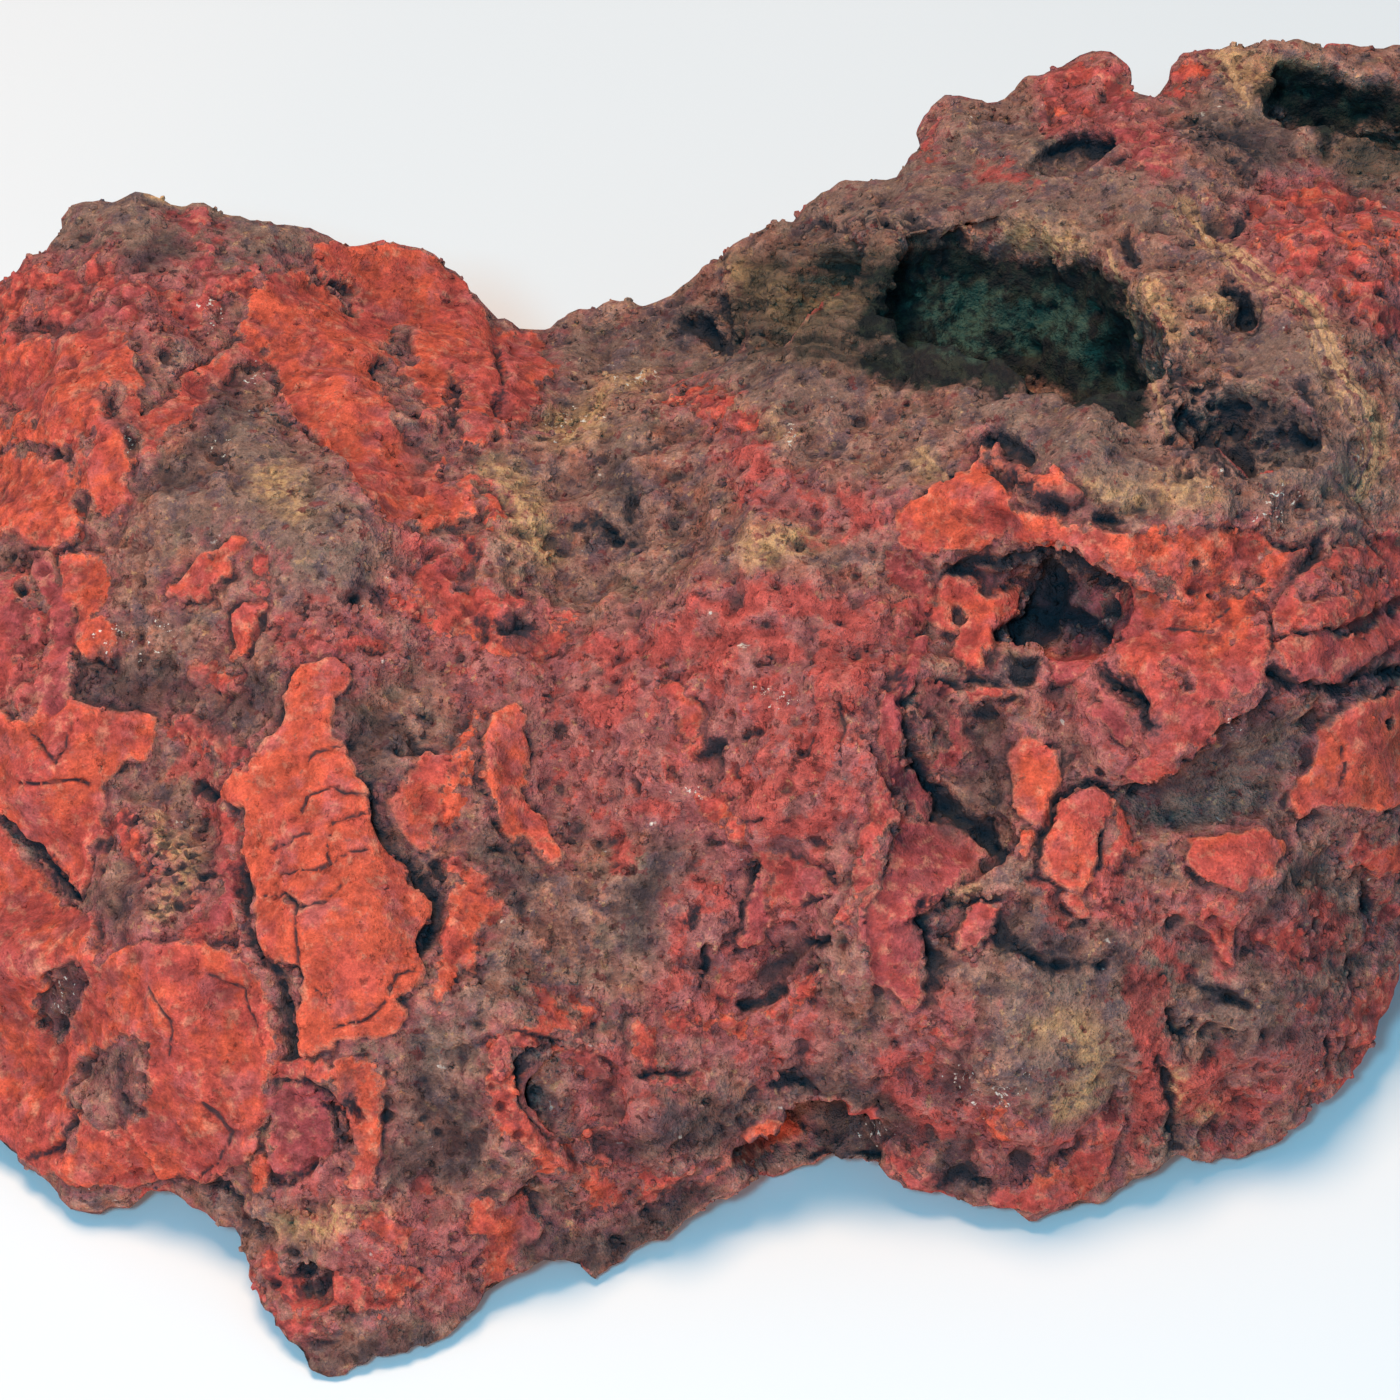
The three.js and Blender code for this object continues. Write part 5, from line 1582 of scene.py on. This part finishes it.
@dataclass(frozen=True)
class StoneFinish:
    """Red haematite crust over brown porous rock, with ochre seams and painted shade in its hollows."""

    effects: Effects
    roughness: float = 0.9
    specular: float = 0.15
    orange: Colour = (0.465, 0.071, 0.036)
    red: Colour = (0.37, 0.055, 0.041)
    stain: Colour = (0.375, 0.060, 0.048)
    crimson: Colour = (0.265, 0.048, 0.050)
    deep_red: Colour = (0.155, 0.030, 0.028)
    rose: Colour = (0.325, 0.082, 0.080)
    tan: Colour = (0.50, 0.20, 0.12)
    rust: Colour = (0.33, 0.105, 0.060)
    olive: Colour = (0.165, 0.105, 0.070)
    brown: Colour = (0.200, 0.078, 0.055)
    fawn: Colour = (0.30, 0.145, 0.105)
    taupe: Colour = (0.155, 0.103, 0.080)
    purple: Colour = (0.088, 0.055, 0.062)
    ochre: Colour = (0.48, 0.255, 0.115)
    seam: Colour = (0.44, 0.235, 0.12)
    slate: Colour = (0.028, 0.022, 0.026)
    hole_shade: Colour = (0.016, 0.018, 0.024)
    chamber_shade_black: Colour = (0.006, 0.008, 0.009)
    chamber_shade_olive: Colour = (0.020, 0.023, 0.016)
    chamber_shade_green: Colour = (0.041, 0.072, 0.050)
    slope: Colour = (0.085, 0.056, 0.037)
    slope_dark: Colour = (0.022, 0.022, 0.017)
    cream: Colour = (0.60, 0.51, 0.43)

    def material(self) -> bpy.types.Material:
        """Build the material.

        Returns:
            The material.
        """
        material, g, shader = new_material("ironstone_skin")
        g.where = g.millimetres()
        rough = g.attribute(Field.ROUGH)
        fine = g.plus(g.times(rough, 2.0), 0.8)
        crust = self._ragged(g, Field.CRUST, g.times(rough, 9.0), fine, 0.16, 1.15)
        grain = self.effects.grain.place(g)
        # Mask of the dark stains and of the painted shade in hollows and under overhangs.
        dark = self._ragged(g, Field.DARK, 4.0, 1.5, 1.2)["Mask"]
        stain = self._ragged(g, Field.STAIN, 5.0, 2.5, 0.6)["Mask"]
        rock = g.mix(g.times(stain, 0.85), self._rock_colour(g), self.stain)
        crystal = self._ragged(g, Field.CRYSTAL, 1.5, 6.5, 0.15, -0.85)["Mask"]
        halo = g.times(g.ease(crust["Depth"], -3.2, 0.2, 0.0, 0.85),
                       g.ease(g.noise(1.5, 4.0, 0.65, 9.0), 0.40, 0.60, 0.15, 1.0))
        rock = g.mix(halo, rock, self.rose)
        red = self._crust_colour(g, rough)
        # Painted highlight: a pale tan rim just inside the crust's edge.
        red = g.mix(g.ease(crust["Depth"], 0.1, 0.5, 0.3, 0.0), red, self.tan)
        # Painted shadow: a ragged slate band on the rock just outside the crust's edge, where its lip would
        # cast shade.
        edge_shadow = g.times(g.ease(crust["Depth"], -0.75, -0.05, 0.0, 0.45),
                       g.ease(g.noise(4.5, 2.0, 0.5, 16.0), 0.42, 0.58))
        rock = g.mix(edge_shadow, rock, self.slate)
        # Where the stains and the painted shade lie, the crust gives way and the rock turns part slate.
        whole = g.times(crust["Mask"], g.math("SUBTRACT", 1.0, g.times(dark, 0.9)))
        colour = g.mix(whole, g.mix(g.times(dark, 0.62), rock, self.slate), red)
        colour = self._painted_shade(g, self._grained(g, colour, grain, crust["Mask"]))
        g.feed(shader.inputs["Base Color"], g.mix(crystal, colour, self.cream))
        g.feed(shader.inputs["Roughness"], self.roughness)
        g.feed(shader.inputs["Specular IOR Level"], self.specular)
        g.feed(shader.inputs["Normal"], self._bump(g, crust["Mask"], grain))
        return material

    def _ragged(self, g: Graph, depth: Field, coarse: object, fine: object, softness: float,
                most: float = 1.8) -> Sockets:
        """Make the edge of a drawn field ragged.

        Args:
            g: The material's graph.
            depth: The field.
            coarse: How far its edge wanders in large swings, in millimetres.
            fine: The same in small swings.
            softness: How wide the edge is.
            most: The depth past which nothing more is told apart.

        Returns:
            The mask and the ragged depth.
        """
        return self.effects.ragged.place(g, Depth=g.attribute(depth), Coarse=coarse, Fine=fine,
                                         Softness=softness, Most=most)

    def _flecked(self, g: Graph, base: Socket, pitch: float, level: float, colour: Colour,
                 strength: float) -> Socket:
        """Strew flecks of a colour over another: their pitch, how rare they are and how strong."""
        fleck = self.effects.flecks.place(g, Pitch=pitch, Level=level)["Mask"]
        return g.mix(g.times(fleck, strength), base, colour)

    def _crust_colour(self, g: Graph, rough: Socket) -> Socket:
        """Colour the crust from orange to crimson, dusted and mottled.

        Args:
            g: The material's graph.
            rough: How knobbly the crust is.

        Returns:
            The colour.
        """
        tone = g.plus(g.attribute(Field.TONE), g.ease(g.noise(6.0), 0.3, 0.7, -0.3, 0.3))
        low = g.mix(g.ease(tone, 0.0, 0.45), self.orange, self.red)
        base = g.mix(g.ease(tone, 0.4, 1.0), low, self.crimson)
        base = g.mix(g.ease(g.noise(4.2, 4.0, 0.6, 12.0), 0.50, 0.66, 0.0, 0.6), base, self.rose)
        worn = g.plus(g.times(rough, 0.75), 0.2)
        worn = g.times(g.ease(g.noise(2.6, 5.0, 0.65, 4.0), 0.48, 0.62), worn)
        base = g.mix(worn, base, self.deep_red)
        base = g.mix(g.ease(g.noise(2.0, 4.0, 0.6, 5.0), 0.54, 0.68, 0.0, 0.45), base, self.tan)
        return self._flecked(g, base, 0.7, 0.63, self.brown, 0.55)

    def _rock_colour(self, g: Graph) -> Socket:
        """Colour the rock brown to fawn, with red flushes, ochre blotches, seams and flecks.

        Args:
            g: The material's graph.

        Returns:
            The colour.
        """
        base = g.mix(g.ease(g.noise(4.5, 4.0), 0.36, 0.62), self.brown, self.fawn)
        base = g.mix(g.ease(g.noise(3.6, 3.0, 0.6, 10.0), 0.52, 0.66, 0.0, 0.7), base, self.rust)
        base = g.mix(g.ease(g.noise(3.2, 4.0, 0.6, 11.0), 0.52, 0.66, 0.0, 0.7), base, self.olive)
        grey = self._ragged(g, Field.GREY, 9.0, 2.5, 2.5)["Mask"]
        base = g.mix(g.times(grey, 0.75), base, self.taupe)
        base = g.mix(g.ease(g.noise(3.4, 5.0, 0.62, 6.0), 0.49, 0.62, 0.0, 0.75), base, self.purple)
        grit = g.noise(0.75, 3.0, 0.7, 17.0)
        base = g.mix(g.ease(grit, 0.55, 0.66, 0.0, 0.6), base, self.fawn)
        base = g.mix(g.ease(grit, 0.34, 0.44, 0.6, 0.0), base, self.purple)
        flush = self._ragged(g, Field.FLUSH, 8.0, 2.0, 3.0)["Mask"]
        base = g.mix(g.times(flush, 0.8), base, self.rose)
        waver = g.ease(g.noise(2.0, 4.0, 0.6, 7.0), 0.2, 0.8, -0.9, 0.9)
        streak = g.times(g.ease(g.plus(g.attribute(Field.STREAK), waver), 0.12, 0.4), flush)
        base = g.mix(g.times(streak, 0.85), base, self.red)
        ochre = self._ragged(g, Field.OCHRE, 4.0, 2.0, 1.5)["Mask"]
        ochre = g.times(ochre, g.ease(g.noise(1.1, 3.0, 0.6, 8.0), 0.38, 0.6, 0.25, 0.95))
        base = g.mix(ochre, base, self.ochre)
        base = g.mix(self._seams(g), base, self.seam)
        for pitch, level, colour, strength in ((1.9, 0.62, self.red, 0.6), (1.2, 0.63, self.ochre, 0.45),
                                               (1.9, 0.61, self.slate, 0.5), (2.3, 0.715, self.cream, 0.8)):
            base = self._flecked(g, base, pitch, level, colour, strength)
        return base

    def _layers(self, g: Graph, across: Field, per_mm: float) -> Socket:
        """Make layers that follow a field of distances and waver a little.

        Args:
            g: The material's graph.
            across: The field.
            per_mm: How many layers there are in a millimetre.

        Returns:
            A number from 0 to 1.
        """
        place = g.plus(g.attribute(across), g.ease(g.noise(3.0), 0.0, 1.0, -0.7, 0.7))
        inputs = {"W": place, "Scale": per_mm, "Detail": 2.0}
        layer = g.add("ShaderNodeTexNoise", inputs, noise_dimensions="1D")
        return g.ease(layer.outputs["Fac"], 0.46, 0.56)

    def _seams(self, g: Graph) -> Socket:
        """Share of ochre in the parallel seams."""
        inside = g.ease(g.attribute(Field.LAMINA_IN), -0.2, 0.7, 0.0, 0.85)
        return g.times(self._layers(g, Field.LAMINA_AT, 1.25), inside)

    def _grained(self, g: Graph, colour: Socket, grain: Sockets, crust: Socket) -> Socket:
        """Lighten the peaks and darken the pits of the grain, and lighten bulges and darken hollows: partly
        the grain's own tone, partly painted shading that follows the bump and the cavities.

        Args:
            g: The material's graph.
            colour: The plain colour.
            grain: What the powdery grain puts out.
            crust: Where the crust is.

        Returns:
            The colour.
        """
        sunk_shade = g.attribute(Field.CAVITY_SHADE)
        for height, low, high, at_low, at_high in (
            (grain["Fine"], 0.3, 0.7, (0.84, 0.84, 0.84), (1.16, 1.16, 1.15)),
            (grain["Coarse"], 0.32, 0.66, (0.76, 0.75, 0.76), (1.20, 1.20, 1.19)),
            (sunk_shade, -0.4, 0.34, (1.24, 1.23, 1.22), (0.66, 0.64, 0.68)),
        ):
            colour = g.mix(1.0, colour, g.mix(g.ease(height, low, high), at_low, at_high), "MULTIPLY")
        # Painted shade in the pits and in the deepest hollows: slate on the rock, deep red on the crust.
        pits = g.times(grain["Pits"], g.ease(crust, 0.0, 1.0, 0.5, 0.22))
        pits = g.math("MAXIMUM", pits, g.ease(sunk_shade, 0.2, 0.6, 0.0, 0.75))
        return g.mix(pits, colour, g.mix(crust, self.slate, self.deep_red))

    def _painted_shade(self, g: Graph, colour: Socket) -> Socket:
        """Lay the chamber slope's dark bands, then paint shade into cracks, pores, crevices, hollows and the
        deep chambers.

        Args:
            g: The material's graph.
            colour: The colour in the open.

        Returns:
            The colour.
        """
        slope = self._ragged(g, Field.SLOPE, 4.0, 2.0, 2.5)["Mask"]
        bands = g.mix(self._layers(g, Field.BANDS, 0.8), self.slope_dark, self.slope)
        colour = g.mix(g.times(slope, 0.93), colour, bands)
        sponge = self._ragged(g, Field.SPONGE, 3.0, 2.0, 1.0)["Mask"]
        # Painted shade: dark pores strewn by noise over the sponge, and in its concave places.
        pores = g.ease(g.noise(1.3, 2.0, 0.5, 14.0), 0.40, 0.50, 0.75, 0.0)
        pores = g.math("MAXIMUM", pores, g.ease(g.attribute(Field.CAVITY_SHADE), -0.05, 0.35, 0.0, 0.75))
        colour = g.mix(g.times(sponge, pores), colour, self.hole_shade)
        # Painted shade inside the hairline cracks: slate along each crack line.
        colour = g.mix(g.ease(g.attribute(Field.CRACK), 0.10, 0.32, 0.85, 0.0), colour, self.slate)
        # Painted shade in hollows: slate where the relief sinks deepest.
        colour = g.mix(g.ease(g.attribute(Field.HOLLOW), -2.4, -1.1, 0.6, 0.0), colour, self.slate)
        # Painted shade: the crevices and holes drawn in VOIDS are coloured nearly black.
        hole_shade = self._ragged(g, Field.VOID, 3.6, 2.6, 0.4, 0.9)["Mask"]
        colour = g.mix(g.times(hole_shade, 0.86), colour, self.hole_shade)
        # Painted shade inside the deep chambers: black to olive, a green cast towards the middle, black
        # blotches over all.
        deep = self._ragged(g, Field.CHAMBER, 3.0, 2.5, 0.8)["Mask"]
        olive = g.ease(g.noise(2.4, 4.0, 0.65, 15.0), 0.42, 0.60)
        inner = g.mix(olive, self.chamber_shade_black, self.chamber_shade_olive)
        floor = g.plus(g.attribute(Field.CHAMBER), g.ease(g.noise(3.0), 0.3, 0.7, -2.5, 2.5))
        inner = g.mix(g.ease(floor, 3.2, 7.4), inner, self.chamber_shade_green)
        black = g.ease(g.noise(1.3, 4.0, 0.7, 18.0), 0.50, 0.62, 0.0, 0.75)
        inner = g.mix(black, inner, self.chamber_shade_black)
        return g.mix(g.times(deep, 0.96), colour, inner)

    def _bump(self, g: Graph, crust: Socket, grain: Sockets) -> Socket:
        """Turn the fine grain and the crust's edge into a normal.

        Args:
            g: The material's graph.
            crust: Where the crust is.
            grain: What the powdery grain puts out.

        Returns:
            The normal.
        """
        coarse = g.times(grain["Coarse"], g.ease(crust, 0.0, 1.0, 1.15, 0.6))
        fine = g.times(grain["Fine"], g.ease(crust, 0.0, 1.0, 0.28, 0.15))
        pits = g.times(grain["Pits"], g.ease(crust, 0.0, 1.0, -0.40, -0.18))
        height = g.plus(g.plus(coarse, fine), g.plus(pits, g.times(crust, 0.3)))
        return g.add("ShaderNodeBump", {"Distance": MM, "Strength": 1.0, "Height": height}).outputs[0]


# ----------------------------------------------
# Crumbs
# ----------------------------------------------


@dataclass
class Crumbs:
    """Crumbs and grains of rock that cling to the bare ground, strewn by a geometry tree."""

    per_square_metre: float = 260_000.0
    smallest_m: float = 0.00022
    largest_m: float = 0.00075
    uneven_m: float = 0.0003
    bumps_per_mm: float = 1.6
    flattest: tuple[float, float, float] = (0.7, 0.6, 0.5)
    roundest: tuple[float, float, float] = (1.4, 1.1, 0.9)
    seed: int = 7

    def build(self, stone: bpy.types.Object) -> bpy.types.Object:
        """Strew the crumbs over the stone.

        Args:
            stone: The finished stone, whose own material the crumbs share.

        Returns:
            The crumbs as one piece.
        """
        carrier = new_object("crumb_ground", stone.data.copy())
        tree = self._tree()
        modifier = carrier.modifiers.new("crumbs", "NODES")
        modifier.node_group = tree
        values = {"Per Square Metre": self.per_square_metre, "Smallest": self.smallest_m,
                  "Largest": self.largest_m, "Unevenness": self.uneven_m, "Seed": self.seed,
                  "Finish": stone.data.materials[0]}
        for item in tree.interface.items_tree:
            if item.in_out == "INPUT" and item.name in values:
                modifier[item.identifier] = values[item.name]
        return new_object("crumbs", evaluated_mesh(carrier))

    def _tree(self) -> bpy.types.NodeTree:
        """Strew points on the ground, put an uneven ball at each, make them real and dress them.

        Returns:
            The geometry tree.
        """
        tree = bpy.data.node_groups.new("crumb scatter", "GeometryNodeTree")
        kinds = {"Geometry": "Geometry", "Per Square Metre": "Float", "Smallest": "Float",
                 "Largest": "Float", "Unevenness": "Float", "Seed": "Int", "Finish": "Material"}
        for name, kind in kinds.items():
            tree.interface.new_socket(name, in_out="INPUT", socket_type=f"NodeSocket{kind}")
        tree.interface.new_socket("Geometry", in_out="OUTPUT", socket_type="NodeSocketGeometry")
        g = Graph(tree)
        source = g.add("NodeGroupInput").outputs
        share = g.add("GeometryNodeInputNamedAttribute", {"Name": Field.CRUMBS.value}, data_type="FLOAT")
        density = g.times(share.outputs["Attribute"], source["Per Square Metre"])
        spread = g.add("GeometryNodeDistributePointsOnFaces",
                       {"Mesh": source["Geometry"], "Density": density, "Seed": source["Seed"]},
                       distribute_method="RANDOM")
        ball = g.add("GeometryNodeMeshIcoSphere", {"Radius": 1.0, "Subdivisions": 1})
        full_turns = (math.tau, math.tau, math.tau)
        turn = g.add("FunctionNodeRandomValue", {"Max": full_turns, "Seed": source["Seed"]},
                     data_type="FLOAT_VECTOR")
        size = g.add("FunctionNodeRandomValue", {2: source["Smallest"], 3: source["Largest"]},
                     data_type="FLOAT")
        squash = g.add("FunctionNodeRandomValue", {"Min": self.flattest, "Max": self.roundest},
                       data_type="FLOAT_VECTOR")
        strew = g.add("GeometryNodeInstanceOnPoints",
                      {"Points": spread.outputs["Points"], "Instance": ball.outputs["Mesh"],
                       "Rotation": turn.outputs["Value"],
                       "Scale": g.scaled(squash.outputs["Value"], size.outputs[1])})
        real = g.add("GeometryNodeRealizeInstances", {"Geometry": strew.outputs["Instances"]})
        place = g.scaled(g.add("GeometryNodeInputPosition").outputs[0], 1.0 / MM)
        bumps = g.add("ShaderNodeTexNoise", {"Vector": place, "Scale": self.bumps_per_mm})
        shove = g.scaled(g.vector("SUBTRACT", bumps.outputs["Color"], (0.5, 0.5, 0.5)), source["Unevenness"])
        uneven = g.add("GeometryNodeSetPosition", {"Geometry": real.outputs["Geometry"], "Offset": shove})
        dress = g.add("GeometryNodeSetMaterial",
                      {"Geometry": uneven.outputs["Geometry"], "Material": source["Finish"]})
        g.add("NodeGroupOutput", {"Geometry": dress.outputs["Geometry"]})
        return tree


# ----------------------------------------------
# Studio
# ----------------------------------------------


# What the lamps point at, in metres.
AIM = (0.0, 0.0, 0.03)


@dataclass(frozen=True)
class Lamp:
    """A square soft lamp: where it is in metres, its side, its power and its colour."""

    name: str
    place: tuple[float, float, float]
    size: float
    power: float
    colour: Colour

    def build(self) -> None:
        """Hang the lamp and point it at the stone."""
        light = bpy.data.lights.new(self.name, "AREA")
        light.size = self.size
        light.energy = self.power
        light.color = self.colour
        holder = new_object(self.name, light)
        holder.location = self.place
        aim = Vector(AIM) - Vector(self.place)
        holder.rotation_euler = aim.to_track_quat("-Z", "Y").to_euler()


@dataclass
class Studio:
    """Pale floor, soft light and the camera."""

    board: DrawingBoard = field(default_factory=DrawingBoard)
    floor_half_m: float = 1.5
    floor_colour: Colour = (0.645, 0.62, 0.625)
    floor_roughness: float = 0.9
    lens_mm: float = 113.14
    sensor_mm: float = 36.0
    nearest_m: float = 0.01
    dome_colour: Colour = (0.14, 0.65, 1.0)
    dome_strength: float = 0.65
    lamps: tuple[Lamp, ...] = (
        Lamp("overhead", (-0.16, 0.12, 1.0), 0.34, 12.2, (1.0, 0.67, 0.41)),
        Lamp("beside_camera", (-0.10, -0.42, 0.50), 0.08, 2.6, (0.18, 0.70, 1.0)),
        Lamp("low_front", (-0.22, -0.88, 0.15), 0.5, 7.5, (1.0, 0.56, 0.34)),
    )

    def build(self) -> None:
        """Set the whole studio up."""
        self._floor()
        self._camera()
        self._dome()
        for lamp in self.lamps:
            lamp.build()

    def _floor(self) -> None:
        """A plain pale floor."""
        half = self.floor_half_m
        mesh = bpy.data.meshes.new("floor")
        corners = [(-half, -half, 0.0), (half, -half, 0.0), (half, half, 0.0), (-half, half, 0.0)]
        mesh.from_pydata(corners, [], [(0, 1, 2, 3)])
        floor = new_object("floor", mesh)
        material, _, shader = new_material("floor_paint")
        shader.inputs["Base Color"].default_value = (*self.floor_colour, 1.0)
        shader.inputs["Roughness"].default_value = self.floor_roughness
        mesh.materials.append(material)

    def _camera(self) -> None:
        """The camera looks square on at the drawing board."""
        camera = bpy.data.cameras.new("camera")
        camera.lens = self.lens_mm
        camera.sensor_width = self.sensor_mm
        camera.sensor_fit = "HORIZONTAL"
        camera.clip_start = self.nearest_m
        holder = new_object("camera", camera)
        holder.location = tuple(self.board.eye_mm * MM)
        holder.rotation_euler = (math.radians(90.0 - self.board.lean_deg), 0.0, 0.0)
        bpy.context.scene.camera = holder

    def _dome(self) -> None:
        """Even light from all round."""
        world = bpy.data.worlds.new("dome")
        world.use_nodes = True
        back = world.node_tree.nodes["Background"]
        back.inputs["Color"].default_value = (*self.dome_colour, 1.0)
        back.inputs["Strength"].default_value = self.dome_strength
        bpy.context.scene.world = world


def mount(piece: bpy.types.Object) -> None:
    """Fix a piece to the stone's body and report it.

    Args:
        piece: A finished piece.
    """
    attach(piece, "root")
    log.info("%s: %d triangles", piece.name, triangle_count(piece.data))


def main() -> None:
    """Build the stone, dress it and set up the studio."""
    logging.basicConfig(level=logging.INFO, format="%(name)s: %(message)s")
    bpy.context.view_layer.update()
    scene = bpy.context.scene
    scene.view_settings.view_transform = "Standard"
    scene.view_settings.look = "None"
    stone = Stone().build(StoneFinish(Effects()))
    mount(stone)
    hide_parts(NODE)
    mount(Crumbs().build(stone))
    Studio().build()


if __name__ == "__main__":
    main()
